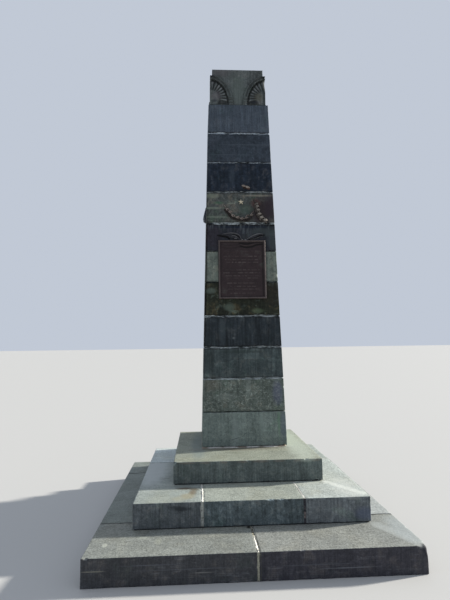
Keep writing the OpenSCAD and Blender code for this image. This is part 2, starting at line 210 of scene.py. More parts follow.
def weathered_box(low, high, seed, radius=0.004, roughness=0.0012, chips=0, largest=0.012, bites=(),
                  hidden=(), rings=SHOWN_RINGS, core_step=0.08, edge_noise=1.3, rounded=None):
    """A box with worn edges and bites, its points, triangles and wear. Everything is worn inward.

    rounded is the place and radius of one corner that is worn round.
    """
    low, high = np.array(low, float), np.array(high, float)
    half, centre = (high - low) / 2, (high + low) / 2
    points, triangles = box_surface(half, hidden, rings, core_step)
    rng = np.random.default_rng(seed)
    edge = np.sort(half - np.abs(points), axis=1)[:, 1]
    place = points + centre
    worn = radius * (0.5 + edge_noise * fractal(place, 16, seed) ** 2 * 2)
    if rounded:
        far = np.linalg.norm(place - np.array(rounded[0]), axis=1)
        worn = np.maximum(worn, rounded[1] * smooth(far, 0.1, 0.03))
    core = np.clip(points, -(half - worn[:, None]), half - worn[:, None])
    away = points - core
    normal = away / np.maximum(np.linalg.norm(away, axis=1, keepdims=True), 1e-9)
    shaped = core + normal * worn[:, None]
    grain = fractal(place, 42, seed + 9) + 0.6 * noise(place, 130, seed + 3)
    dent = roughness * noise(place, 4.3, seed + 5) + roughness * np.exp(-edge / 0.012) * grain
    shaped -= normal * dent[:, None]
    wear = 0.75 * np.exp(-edge / 0.005) * noise(place, 35, seed + 2)
    bites = [(np.array(spot) - centre, size, pale) for spot, size, pale in bites]
    for spot, size, pale in random_chips(rng, half, chips, largest) + bites:
        away = shaped - spot
        far = np.linalg.norm(away, axis=1)
        near = far < size * 1.2
        reach = size + min(size, 0.03) * (0.3 * noise(place[near], 90, seed + 6) - 0.12)
        push = np.maximum(reach - far[near], 0)
        direction = away[near] / np.maximum(far[near], 1e-6)[:, None]
        shaped[near] += direction * push[:, None]
        hit = np.clip(push / 0.002, 0, 1)
        wear[near] = np.where(pale > 0, np.maximum(wear[near], pale * hit), wear[near] * (1 - hit))
    shaped = np.clip(shaped, -half, half)
    return shaped + centre, triangles, wear


# Materials

OPEN_SHADE = 0.5    # Light on an upright face in open shade, so that colours can be given as they look there
SHEEN = 0.0065      # Light that such a face mirrors
SUNLIT = 1.16       # Light on a top in the sun


def linear(value):
    """Linear light from a display value of 0 to 255."""
    value /= 255
    return value / 12.92 if value <= 0.04045 else ((value + 0.055) / 1.055) ** 2.4


def shade_colour(r, g, b):
    """Reflectance of what shows as this display colour on an upright face in open shade."""
    return tuple(min(max((linear(c) - SHEEN) / OPEN_SHADE, 0.004), 0.9) for c in (r, g, b)) + (1,)


def lit_colour(r, g, b):
    """Reflectance of what shows as this display colour on a top in the sun."""
    return tuple(min(linear(c) / SUNLIT, 0.9) for c in (r, g, b)) + (1,)


class Surface:
    """A node material; each method adds one node or a few and returns the last output."""

    def __init__(self, name, rough, sheen, metal=0.0):
        self.material = bpy.data.materials.new(name)
        self.material.use_nodes = True
        self.tree = self.material.node_tree
        self.tree.nodes.clear()
        self.shader = self.node("BsdfPrincipled")
        self.node("OutputMaterial", self.shader.outputs[0])
        for socket, value in (("Roughness", rough), ("Specular IOR Level", sheen), ("Metallic", metal)):
            self.shader.inputs[socket].default_value = value
        self.place = self.node("TexCoord").outputs["Object"]
        self.x, self.y, self.z = self.node("SeparateXYZ", self.place).outputs
        self.facing = self.node("SeparateXYZ", self.node("NewGeometry").outputs["Normal"]).outputs

    def node(self, kind, *values, **settings):
        """A shader node; values go to its inputs in order, and settings are its own."""
        made = self.tree.nodes.new("ShaderNode" + kind)
        for key, value in settings.items():
            setattr(made, key, value)
        for socket, value in zip(made.inputs, values):
            self.feed(socket, value)
        return made

    def feed(self, socket, value):
        if isinstance(value, bpy.types.NodeSocket):
            self.tree.links.new(value, socket)
        elif value is not None:
            socket.default_value = value

    def math(self, operation, a, b=0.0, c=None, clamp=False):
        return self.node("Math", a, b, c, operation=operation, use_clamp=clamp).outputs[0]

    def vector(self, operation, a, b=None, c=None):
        """Vector maths, for a DOT_PRODUCT or LENGTH as a number."""
        made = self.node("VectorMath", a, b, c, operation=operation)
        return made.outputs[operation in ("DOT_PRODUCT", "LENGTH")]

    def noise(self, scale, detail, rough, warp=0.0, shift=0.0):
        """Noise from 0 to 1; scale is cells per metre, one number or one for each axis."""
        scale = scale if isinstance(scale, tuple) else (scale,) * 3
        made = self.node("TexNoise", self.vector("MULTIPLY_ADD", self.place, scale, (shift, -shift, shift)))
        for name, value in (("Scale", 1.0), ("Detail", detail), ("Roughness", rough), ("Distortion", warp)):
            made.inputs[name].default_value = value
        return made.outputs["Fac"]

    def range(self, value, low, high, to_low=0.0, to_high=1.0, kind="SMOOTHSTEP"):
        return self.node("MapRange", value, low, high, to_low, to_high, interpolation_type=kind).outputs[0]

    def linear(self, *values):
        return self.range(*values, kind="LINEAR")

    def blend(self, amount, a, b):
        made = self.node("Mix", data_type="RGBA")
        for place, value in ((0, amount), (6, a), (7, b)):
            self.feed(made.inputs[place], value)
        return made.outputs[2]

    def coat(self, amount, colour, seen):
        """Blends in a colour that is given as it looks in open shade."""
        return self.blend(amount, colour, shade_colour(*seen))

    def spot(self, centre, radii):
        """1 inside an uneven round patch at a place on the object, 0 outside."""
        away = self.vector("MULTIPLY", self.vector("SUBTRACT", self.place, centre), [1 / r for r in radii])
        uneven = self.math("SUBTRACT", self.noise(14, 5, 0.72, 0.3, centre[0] * 9), 0.5)
        return self.range(self.math("MULTIPLY_ADD", uneven, 1.2, self.vector("LENGTH", away)), 1.5, 0.5)

    def bump(self, height, distance, strength):
        made = self.node("Bump", strength, distance)
        self.feed(made.inputs["Height"], height)
        self.feed(self.shader.inputs["Normal"], made.outputs[0])

    def attribute(self, name):
        return self.node("Attribute", attribute_name=name, attribute_type="GEOMETRY").outputs["Fac"]

    def vary(self, source, amount):
        """A factor round 1 that follows a noise."""
        return self.linear(source, 0.3, 0.7, 1 - amount, 1 + amount)

    def product(self, first, *others):
        for other in others:
            first = self.math("MULTIPLY", first, other)
        return first

    def off(self, along, place):
        """Distance from a place along an axis."""
        return self.math("ABSOLUTE", self.math("SUBTRACT", along, place))

    def ends(self, left, right):
        """A value that goes evenly from the left to the right side of the shaft."""
        return self.linear(self.x, AXIS_X - 0.35, AXIS_X + 0.35, left, right)

    def scale(self, colour, factor):
        made = self.node("VectorMath", colour, operation="SCALE")
        self.feed(made.inputs["Scale"], factor)
        return made.outputs[0]

    def kept(self, mask, gaps, shift):
        """A mask that fades out round places across the front, given as (x from the axis, half width)."""
        wave = self.product(self.noise((19, 19, 60), 3, 0.6, 0, shift), 0.05) if gaps else 0
        for x, half in gaps:
            off = self.math("ADD", self.off(self.x, AXIS_X + x), wave)
            mask = self.product(mask, self.range(off, half, half + 0.05))
        return mask

    def add_bed(self, colour, shift, axis, place, reach, light, paint=(140, 147, 150), soot=0.0, drip=0.0,
                gaps=()):
        """Mortar smeared over the stone beside a joint, with painted shade next to it for the joint's shadow
        line, and runs under it.

        light is how much of the mortar shows at the left and at the right end.
        """
        wave = self.math("SUBTRACT", self.noise((13, 13, 26), 5, 0.65, 0.4, shift + 3), 0.5)
        off = self.math("MULTIPLY_ADD", wave, 3.4 * reach, self.off((self.x, self.y, self.z)[axis], place))
        # Painted shade: darkens the stone just beside the joint, standing in for the shadow line there.
        if soot:
            colour = self.scale(colour, self.range(off, 3.4 * reach, 1.3 * reach, 1, 1 - soot))
        if drip:
            fall = self.range(self.z, place - 0.1, place - 0.01, 0, drip)
            runs = self.range(self.noise((42, 42, 5), 4, 0.65, 0.3, shift + 6), 0.52, 0.66)
            colour = self.coat(self.product(fall, runs), colour, (124, 132, 132))
        shown = self.range(self.noise((8, 8, 30), 4, 0.6, 0.2, shift + 1), 0.36, 0.56, 0.6, 1)
        mask = self.product(self.range(off, 1.3 * reach, 0.7 * reach), shown, self.ends(*light))
        return self.coat(self.kept(mask, gaps, place), colour, paint)


def stone_material(name, side, top, seed, mottle=0.5, streak=0.3, tooling=0.2, grain=0.3, tint=(92, 84, 72),
                   tinted=0.25, patch=None, veins=0.0, algae=0.2, beds=(), stains=(), cracks=(),
                   left_painted_shade=0.0, worn=None, speckle=0.3):
    """Weathered stone: dark upright faces, pale dusty tops, streaks, speckle, veins and stains, with painted
    shade in hollows, on the shaft's left face and beside joints.

    patch is (colour, amount, cells per metre, threshold); beds lists the arguments of add_bed, and stains
    (centre, radii, reflectance, amount).
    """
    s = Surface(name, 0.62, 0.15)
    shift = seed * 3.7
    broad = s.noise(2.2, 3, 0.55, 0.4, shift)
    medium = s.noise(11, 6, 0.68, 0.6, shift + 5)
    fine = s.noise(36, 5, 0.7, 0.3, shift + 8)
    grit = s.noise(90, 4, 0.75, 0, shift)
    runs = s.noise((30, 30, 1.5), 5, 0.62, 0.25, shift)
    lines = s.noise((88, 88, 3.2), 3, 0.6, 0, shift + 2)
    tone = s.product(s.vary(broad, 0.4 * mottle), s.vary(medium, mottle), s.vary(fine, 0.8 * mottle),
                     s.vary(runs, streak), s.vary(lines, tooling), s.vary(grit, grain))
    dark = s.coat(s.range(medium, 0.48, 0.66, 0, tinted), shade_colour(*side), tint)
    dark = s.coat(s.range(s.noise(6, 5, 0.6, 0.5, shift + 9), 0.54, 0.7, 0, algae), dark,
                  (0.88 * side[0], 1.06 * side[1], 0.9 * side[2]))
    if patch:
        colour, amount, cells, threshold = patch
        shape = s.noise((cells, cells, 1.4 * cells), 6, 0.62, 0.7, shift + 11)
        dark = s.coat(s.range(shape, threshold - 0.03, threshold + 0.05, 0, amount), dark, colour)
    dark = s.scale(dark, tone)
    if veins:
        ridge = s.range(s.off(s.noise((1.3, 1.3, 26), 3, 0.5, 0.3, shift + 13), 0.5), 0.02, 0.003, 0, veins)
        ridge = s.product(ridge, s.range(broad, 0.42, 0.6, 0.1, 1), s.range(medium, 0.42, 0.58, 0.1, 1))
        dark = s.coat(ridge, dark, (96, 98, 102))
    edge_painted_shade = 1.0
    # Painted shade: darkens the shaft's left face, most near its front, and a band along its left edge,
    # where the shaded left face shows.
    if left_painted_shade:
        beside, behind = (
            s.math("MULTIPLY_ADD", s.z, -BATTER, s.math("ADD", along, foot_low.z * BATTER - start))
            for along, start in ((s.x, foot_low.x), (s.y, foot_low.y)))
        off = s.math("MULTIPLY_ADD", fine, 0.014, s.math("MAXIMUM", beside, behind))
        turned = s.product(s.range(beside, 0.012, 0.004), s.range(behind, 0.45, 0.1, 0, 0.5 * left_painted_shade))
        edge_painted_shade = s.product(s.math("SUBTRACT", 1.0, turned), s.range(off, 0.032, 0.018, 1, 1 - left_painted_shade))

    dust = s.vary(s.noise(5.5, 6, 0.65, 0.3, shift + 1), 0.16)
    pits = s.vary(s.noise(80, 5, 0.75, 0, shift + 4), speckle)
    flecks = s.range(s.noise(42, 5, 0.75, 0.4, shift + 14), 0.3, 0.44, 1 - 1.1 * speckle, 1)
    rows = s.vary(s.noise((9, 50, 9), 4, 0.65, 0.3, shift + 15), 0.13)
    pale = s.blend(s.range(s.noise(3.1, 4, 0.6, 0.5, shift + 7), 0.45, 0.7, 0, 0.4), lit_colour(*top),
                   lit_colour(top[0] * 1.02, top[1] * 0.99, top[2] * 0.93))
    pale = s.scale(pale, s.product(dust, pits, flecks, rows))
    colour = s.blend(s.range(s.facing[2], 0.55, 0.9), dark, pale)

    worn = worn or [min(1.5 * c + 16, 140) for c in side]
    # Paler on worn edges and chips; on the capital the same attribute paints the highlight on the rib
    # crests.
    wear_and_highlight_mask = s.product(s.attribute("wear"), s.vary(medium, 0.5))
    colour = s.coat(s.range(wear_and_highlight_mask, 0.15, 0.8, 0, 0.6), colour, worn)
    # Painted shade: a per-point attribute darkens hollows, grooves and the undersides of carving; the edge
    # factor darkens the left face.
    colour = s.scale(colour, s.product(s.linear(s.attribute("painted_shade"), 0.05, 1, 1, 0.22), edge_painted_shade))
    for centre, radii, stain, amount in stains:
        colour = s.blend(s.product(s.spot(centre, radii), amount), colour, stain)
    for start, end, half, amount in cracks:
        length = math.dist(start, end)
        x, z = (end[0] - start[0]) / length, (end[1] - start[1]) / length
        place = s.vector("SUBTRACT", s.place, (AXIS_X + start[0], 0, start[1]))
        along, off = s.vector("DOT_PRODUCT", place, (x, 0, z)), s.vector("DOT_PRODUCT", place, (-z, 0, x))
        off = s.math("ABSOLUTE", s.math("MULTIPLY_ADD", s.math("SUBTRACT", medium, 0.5), 0.05, off))
        mask = s.product(s.range(off, half, 0.4 * half, 0, amount), s.range(along, 0, 0.02),
                         s.range(along, length, length - 0.02))
        colour = s.coat(mask, colour, (40, 46, 48))
    for *bed, looks in beds:
        colour = s.add_bed(colour, shift, *bed, **looks)
    s.feed(s.shader.inputs["Base Color"], colour)
    s.feed(s.shader.inputs["Roughness"], s.linear(medium, 0.3, 0.7, 0.55, 0.78))
    height = s.product(grit, 0.4)
    for source, amount in ((lines, tooling), (medium, 0.9), (fine, 0.8)):
        height = s.math("MULTIPLY_ADD", source, amount, height)
    s.bump(height, 0.005, 0.6)
    return s.material


def mortar_material(name, light, dirt, dirty, seed, top=None, across=(1.0, 1.0), gaps=()):
    """Sandy lime mortar, patchy with dirt; across is how clean it is at the left and at the right end.

    light and top are its clean colours on upright faces and on tops in the sun.
    """
    s = Surface(name, 0.85, 0.12)
    patches = s.noise((8, 8, 16), 5, 0.65, 0.5, seed * 2.3)
    grit = s.noise(220, 3, 0.6, 0, seed)
    fine = s.noise(48, 5, 0.7, 0, seed + 4)
    upward = s.range(s.facing[2], 0.4, 0.8)
    soiled = s.math("ADD", s.range(patches, 0.62 - 0.4 * dirty, 0.8 - 0.4 * dirty),
                    s.ends(1 - across[0], 1 - across[1]), clamp=True)
    soiled = s.product(soiled, s.range(upward, 0, 1, 1, 0.35 if top else 1))
    fresh = s.blend(upward, shade_colour(*light), lit_colour(*top)) if top else shade_colour(*light)
    colour = s.blend(s.kept(s.math("SUBTRACT", 1.0, soiled), gaps, seed), shade_colour(*dirt), fresh)
    s.feed(s.shader.inputs["Base Color"], s.scale(colour, s.product(s.vary(grit, 0.2), s.vary(fine, 0.35))))
    s.bump(s.math("ADD", fine, s.product(grit, 0.4)), 0.004, 0.7)
    return s.material


def bronze_material(name, field, rubbed_and_highlit, seed, verdigris=0.15):
    """Aged bronze: dark patina, lighter where rubbed and where a highlight is painted on edges and crests,
    darkened by painted shade in its hollows and under raised parts, with streaks of run-off.
    """
    s = Surface(name, 0.55, 0.25, 0.3)
    cloud = s.noise(9, 5, 0.62, 0.6, seed * 1.9)
    runs = s.noise((60, 60, 5), 4, 0.6, 0.1, seed)
    grit = s.noise(140, 4, 0.7, 0, seed + 2)
    # Lighter where the bronze is rubbed and where a highlight is painted on crests and edges.
    colour = s.coat(s.range(s.attribute("wear"), 0.1, 0.95), shade_colour(*field), rubbed_and_highlit)
    colour = s.coat(s.range(runs, 0.5, 0.75, 0, 0.35), colour, [0.8 * c for c in field])
    colour = s.coat(s.range(cloud, 0.55, 0.75, 0, verdigris), colour, (70, 82, 74))
    # Painted shade from a per-point attribute, in hollows, along fold lines and under raised parts.
    colour = s.scale(colour, s.linear(s.attribute("painted_shade"), 0.05, 1, 1, 0.12))
    s.feed(s.shader.inputs["Base Color"], s.scale(colour, s.product(s.vary(grit, 0.25), s.vary(cloud, 0.3))))
    s.feed(s.shader.inputs["Roughness"], s.linear(cloud, 0.3, 0.7, 0.46, 0.7))
    s.bump(s.math("ADD", grit, cloud), 0.0015, 0.5)
    return s.material


# Camera at the photograph's viewpoint, for an image of 450 by 600, and the light on the stone

LENS_PLACE = (-0.3963, -4.6217, 1.66)
YAW, PITCH, ROLL = (math.radians(a) for a in (3.236, 5.677, 0.754))    # Turned from +Y to the right
SUN_AZIMUTH, SUN_ELEVATION = math.radians(12), math.radians(19)
FLOOR_REACH = 220


def aim(azimuth, elevation):
    """Unit vector towards an azimuth, counted from +X towards +Y, and an elevation."""
    return Vector((math.cos(elevation) * math.cos(azimuth), math.cos(elevation) * math.sin(azimuth),
                   math.sin(elevation)))


def make_camera():
    ahead = aim(math.pi / 2 - YAW, PITCH)
    level = aim(-YAW, 0)
    down = ahead.cross(level)
    right = math.cos(ROLL) * level + math.sin(ROLL) * down
    up = math.sin(ROLL) * level - math.cos(ROLL) * down
    camera = add("camera", bpy.data.cameras.new("camera"))
    camera.data.lens = 27
    camera.data.sensor_width = 36
    camera.data.clip_end = 500
    camera.matrix_world = Matrix((*zip(right, up, -ahead, LENS_PLACE), (0, 0, 0, 1)))
    bpy.context.scene.camera = camera


# Soft low sun from the right, a pale sky and a plain pale floor

def make_studio():
    sun = add("sun", bpy.data.lights.new("sun", "SUN"))
    sun.data.energy = 8.5
    sun.data.angle = math.radians(3)
    sun.data.color = (1.0, 0.95, 0.86)
    sun.rotation_mode = "QUATERNION"
    sun.rotation_quaternion = (-aim(SUN_AZIMUTH, SUN_ELEVATION)).to_track_quat("-Z", "Y")

    world = bpy.data.worlds.new("sky")
    bpy.context.scene.world = world
    world.use_nodes = True
    sky = world.node_tree.nodes["Background"]
    sky.inputs["Color"].default_value = (0.86, 0.94, 1.08, 1)
    sky.inputs["Strength"].default_value = 0.62

    mesh = bpy.data.meshes.new("floor")
    corners = [(x * FLOOR_REACH, y * FLOOR_REACH, 0) for x, y in ((-1, -1), (1, -1), (1, 1), (-1, 1))]
    mesh.from_pydata(corners, [], [(0, 1, 2, 3)])
    paper = Surface("floor_paper", 0.9, 0.1)
    paper.shader.inputs["Base Color"].default_value = (0.5, 0.5, 0.49, 1)
    mesh.materials.append(paper.material)
    add("floor", mesh)
    bpy.context.scene.view_settings.view_transform = "Standard"


# Tiers

def top_stains(z, *rows):
    """Patches on a sunlit top, each as (x, y, radius along x, radius along y, colour, amount)."""
    return [((x, y, z), (rx, ry, 0.03), lit_colour(*colour), amount)
            for x, y, rx, ry, colour, amount in rows]


def side_stains(y, *rows):
    """Patches on an upright face to the front, as (x, z, radius along x, radius along z, colour, amount)."""
    return [((x, y, z), (rx, 0.05, rz), shade_colour(*colour), amount)
            for x, z, rx, rz, colour, amount in rows]


def tier_stone(node, seed, side, top, bites=(), chips=14, largest=0.012, hidden=(), rounded=None, **looks):
    """A stone of the tiers, in the place of its CAD node."""
    shape = weathered_box(*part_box(node), seed, radius=0.0045, chips=chips, largest=largest, bites=bites,
                          hidden=[(2, -1)] + list(hidden), rounded=rounded)
    material = stone_material(node + "_stone", side, top, seed, **looks)
    make_piece(node + "_block", node, "step_stone", material, *shape)


def make_base():
    front, top = base_low.y, base_high.z
    joint = joint_x("base_front_left", "base_front_right")
    cream = (0, joint, 0.009, (0.6, 0.6), dict(paint=(120, 119, 108)))
    # A painted shadow line on the top, beside the joint.
    painted_shadow_line = (0, joint + 0.0175, 0.0035, (0.85, 0.85), dict(paint=(56, 56, 52)))
    long_stone = dict(mottle=0.25, streak=0.08, tinted=0.1, speckle=0.5, hidden=[(1, 1)])
    lines = side_stains(front, (-1.15, 0.112, 0.08, 0.004, (98, 97, 88), 0.6),
                        (-0.75, 0.14, 0.2, 0.003, (74, 76, 82), 0.45),
                        (-0.5, 0.105, 0.35, 0.003, (72, 74, 79), 0.4),
                        (-0.39, 0.078, 0.07, 0.004, (92, 92, 90), 0.55))
    # The last mark is a black spot painted for the shade in a hole at the foot of the step's joint.
    marks = top_stains(top, (-1.11, -1.1, 0.018, 0.035, (188, 192, 180), 0.6),
                       (-0.84, -0.99, 0.04, 0.02, (178, 184, 172), 0.45),
                       (-0.72, -1.06, 0.025, 0.05, (168, 172, 158), 0.4),
                       (-0.01, -0.86, 0.022, 0.022, (30, 29, 28), 0.95))
    tier_stone("base_front_left", 11, (50, 51, 53), (137, 141, 136), veins=0.25, beds=[cream],
               stains=lines + marks, **long_stone)
    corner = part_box("base_front_right")[1]
    # Painted reflected light: pale patches in a diagonal row from the step's front right corner and a pale
    # area to its right, where the step's sunlit right face throws light onto this top.
    painted_light = top_stains(top, *[(1.02 + 0.036 * i, -0.9 - 0.07 * i, 0.05, 0.06, (172, 177, 174), 0.6)
                               for i in range(6)], (1.2, -0.98, 0.1, 0.26, (168, 175, 175), 0.7))
    lines = side_stains(front, (corner.x, top - 0.02, 0.045, 0.06, (34, 35, 40), 0.9),
                        (0.66, 0.07, 0.17, 0.004, (86, 88, 92), 0.5),
                        (0.4, 0.1, 0.3, 0.003, (68, 70, 75), 0.4))
    tier_stone("base_front_right", 12, (46, 46, 50), (144, 147, 142), veins=0.15, beds=[cream, painted_shadow_line],
               rounded=((corner.x, front, top), 0.028), stains=painted_light + lines, **long_stone)
    for seed, part in enumerate(("side_left", "side_right", "back_left", "back_right"), 13):
        # The paler tops of the right stones are partly painted reflected light from the step's sunlit right
        # face.
        tops = (131, 138, 133) if part.endswith("left") else (170, 175, 173)
        tier_stone("base_" + part, seed, (51, 52, 57), tops, mottle=0.3, veins=0.4, speckle=0.45)


def make_step():
    front, top, blue = step_low.y, step_high.z, (63, 70, 72)
    wide = joint_x("step_front_left", "step_front_center")
    white = (0, wide, 0.012, (0.6, 0.6), dict(paint=(120, 122, 118)))
    thin = (0, joint_x("step_front_center", "step_front_right"), 0.006, (0.3, 0.3), dict(paint=(62, 62, 64)))
    rust = top_stains(top, (-0.545, -0.5, 0.07, 0.03, (92, 80, 66), 0.8),
                      (-0.46, -0.53, 0.04, 0.03, (96, 84, 66), 0.75),
                      (-0.47, -0.61, 0.035, 0.06, (124, 106, 80), 0.65),
                      (-0.51, -0.7, 0.06, 0.06, (158, 148, 118), 0.55),
                      (-0.57, -0.76, 0.07, 0.05, (168, 166, 144), 0.45),
                      (-0.86, 0.12, 0.14, 0.52, (192, 198, 198), 0.8))
    dark = side_stains(front, (-0.56, 0.352, 0.07, 0.018, (34, 36, 38), 0.75),
                       (-0.6, 0.367, 0.05, 0.01, (40, 42, 44), 0.6))
    tier_stone("step_front_left", 21, (67, 71, 73), (152, 160, 155), mottle=0.35, tooling=0.25, tinted=0.15,
               stains=rust + dark, speckle=0.45, beds=[white])
    crumbs = [((wide + 0.05 + 0.73 * lattice(i, 3, 5, 1), front - 0.008, top + 0.008),
               0.011 + 0.01 * lattice(i, 8, 2, 4) ** 3, 0.9) for i in range(16)]
    tier_stone("step_front_center", 22, blue, (160, 166, 157), mottle=0.45, bites=crumbs, chips=20,
               largest=0.01, patch=((80, 88, 90), 0.3, 14, 0.56), hidden=[(1, 1)], speckle=0.45,
               tinted=0.15, beds=[white, thin])
    # Painted reflected light: a pale area and a diagonal row of pale patches from the slab's front right
    # corner, where the slab's sunlit right face throws light onto this tread.
    painted_light = top_stains(top, (0.86, -0.6, 0.1, 0.26, (206, 210, 204), 0.5),
                        *[(0.745 + 0.042 * i, -0.44 - 0.062 * i, 0.035, 0.045, (226, 230, 222), 0.6)
                          for i in range(6)])
    blot = side_stains(front, (0.95, 0.27, 0.08, 0.05, (66, 72, 88), 0.5))
    tier_stone("step_front_right", 23, (74, 78, 80), (179, 186, 181), mottle=0.35, streak=0.25, speckle=0.45,
               tinted=0.1, stains=painted_light + blot, beds=[thin])
    for seed, part in enumerate(("left", "center", "right"), 24):
        tops = (196, 206, 206) if part == "left" else (164, 172, 166)
        tier_stone("step_back_" + part, seed, blue, tops, mottle=0.4, speckle=0.4)


def make_slab():
    front, top = slab_low.y, slab_high.z
    ragged = [((x, front - 0.012, slab_low.z - 0.01), 0.022 + 0.004 * math.sin(40 * x), 0.6)
              for x in np.arange(slab_low.x + 0.05, slab_high.x, 0.115)]
    broken = [((slab_low.x - 0.012, front - 0.012, top + 0.014), 0.046, 0.4)]
    brown = side_stains(front, *[(x, top - 0.012, 0.05 + 0.02 * math.sin(9 * x), 0.01, (84, 76, 68), 0.4)
                                 for x in np.arange(slab_low.x + 0.12, slab_high.x, 0.17)])
    dirt = top_stains(top, (AXIS_X - 0.48, AXIS_Y - 0.3, 0.07, 0.6, (128, 138, 134), 0.8),
                      (AXIS_X + 0.53, AXIS_Y - 0.2, 0.12, 0.9, (182, 190, 176), 0.8),
                      (AXIS_X - 0.08, AXIS_Y - FOOT_HALF - 0.06, 0.42, 0.075, (116, 110, 100), 0.65))
    tier_stone("top_slab", 31, (66, 72, 71), (148, 153, 140), bites=broken + ragged, chips=20, mottle=0.28,
               streak=0.22, speckle=0.6, tinted=0.1, patch=((74, 82, 82), 0.2, 9, 0.56), algae=0.1,
               stains=brown + dirt)


def finish_fill():
    """Gives the CAD nodes that stay, inside and between the tiers, their materials."""
    rubble = ((110, 108, 104), (80, 78, 74), 0.5, 4)
    for node, name, looks in (("base_core", "base_core_rubble", rubble),
                              ("step_core", "step_core_rubble", rubble),
                              ("tier_beds", "tier_bed_mortar", ((70, 70, 68), (40, 40, 42), 0.8, 6))):
        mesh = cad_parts[node].data
        mesh.materials.clear()
        mesh.materials.append(mortar_material(name, *looks))


def make_tier_mortar():
    """Upright joints of the tiers, filled nearly flush and uneven."""
    # Clean colour, dirt, how dirty, seed, clean colour on top, and how clean at the left and right end
    looks = {"base_joint": ((112, 111, 100), (80, 79, 70), 0.1, 1, (232, 230, 220)),
             "side_joint": ((48, 50, 50), (34, 35, 36), 0.3, 3, (92, 94, 90)),
             "step_joint": ((116, 118, 114), (70, 71, 68), 0.3, 2, (222, 222, 214), (1.0, 0.2)),
             "narrow_joint": ((88, 82, 80), (44, 44, 47), 0.6, 7, (206, 206, 198))}
    names = {"side_joint": "base_side_joints", "narrow_joint": "step_narrow_joints"}
    middle = joint_x("base_front_left", "base_front_right")
    proud = 0.0048
    groups = {}
    for node in ("base_mortar", "step_mortar"):
        for low, high in solid_boxes(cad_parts[node].data):
            if node == "step_mortar":
                kind = "narrow_joint" if low[0] > AXIS_X else "step_joint"
            else:
                central = low[0] < middle < high[0] and low[1] < base_low.y + 0.2
                kind = "base_joint" if central else "side_joint"
            groups.setdefault((kind, node), []).append((low - proud, high + proud))
    for (kind, node), boxes in groups.items():
        worn = (0.0025, 0.0008) if kind == "narrow_joint" else (0.0035, 0.003)
        points, faces, wear, count = [], [], [], 0
        for low, high in boxes:
            p, t, w = weathered_box(low, high, 41 + count % 7, *worn, rings=((0.0, 0.006), (0.003, 0.006)),
                                    core_step=0.04, edge_noise=1.0)
            points.append(p)
            faces.append(t + count)
            wear.append(w)
            count += len(p)
        material = mortar_material(kind + "_mortar", *looks[kind])
        make_piece(names.get(kind, kind + "s"), node, "mortar", material, np.vstack(points),
                   np.vstack(faces), np.concatenate(wear))


def solid_boxes(mesh):
    """Lowest and highest corner of each separate box in a mesh."""
    keys = [tuple(k) for k in np.round([v.co for v in mesh.vertices], 6)]
    parent = {k: k for k in keys}

    def root(k):
        while parent[k] != k:
            k = parent[k]
        return k

    for polygon in mesh.polygons:
        first, *others = [root(keys[i]) for i in polygon.vertices]
        for other in others:
            parent[root(other)] = root(first)
    groups = {}
    for k in parent:
        groups.setdefault(root(k), []).append(k)
    return sorted(((np.min(g, axis=0), np.max(g, axis=0)) for g in groups.values()),
                  key=lambda box: tuple(box[0]))


# Shaft

COURSE_LOOKS = {
    1: dict(side=(80, 88, 85), mottle=0.25, streak=0.14, tooling=0.12, tinted=0.1,
            patch=((102, 110, 106), 0.25, 5, 0.56)),
    2: dict(side=(67, 73, 69), mottle=0.4, streak=0.1, grain=0.5, tint=(70, 64, 56), tinted=0.35,
            patch=((100, 106, 102), 0.45, 30, 0.56)),
    3: dict(side=(49, 55, 56), mottle=0.25, tooling=0.15, tinted=0.1, patch=((66, 74, 74), 0.4, 4, 0.54)),
    4: dict(side=(36, 40, 43), mottle=0.3, streak=0.5, tinted=0.05),
    5: dict(side=(36, 38, 33), mottle=0.6, tinted=0.5, tint=(54, 48, 37), algae=0.4,
            patch=((66, 74, 68), 0.5, 11, 0.6)),
    6: dict(side=(77, 83, 78), mottle=0.35, streak=0.25, algae=0.4, patch=((62, 66, 62), 0.4, 9, 0.6)),
    7: dict(side=(36, 38, 42), mottle=0.45, streak=0.4, tinted=0.2, tint=(46, 39, 41)),
    8: dict(side=(57, 60, 59), streak=0.12, algae=0.5, tint=(70, 62, 52), tinted=0.35,
            patch=((78, 85, 78), 0.45, 7, 0.58)),
    9: dict(side=(31, 36, 43), streak=0.35, tinted=0.1),
    10: dict(side=(42, 47, 53), mottle=0.4, streak=0.1, tooling=0.1, tinted=0.2, tint=(46, 46, 48)),
    11: dict(side=(53, 59, 66), mottle=0.18, streak=0.12, tooling=0.25, tinted=0.05),
}
# How strongly painted shade darkens the left face and left edge of each course
LEFT_PAINTED_SHADE = {3: 0.3, 4: 0.6, 5: 0.85, 6: 0.75, 7: 0.9, 8: 0.3}
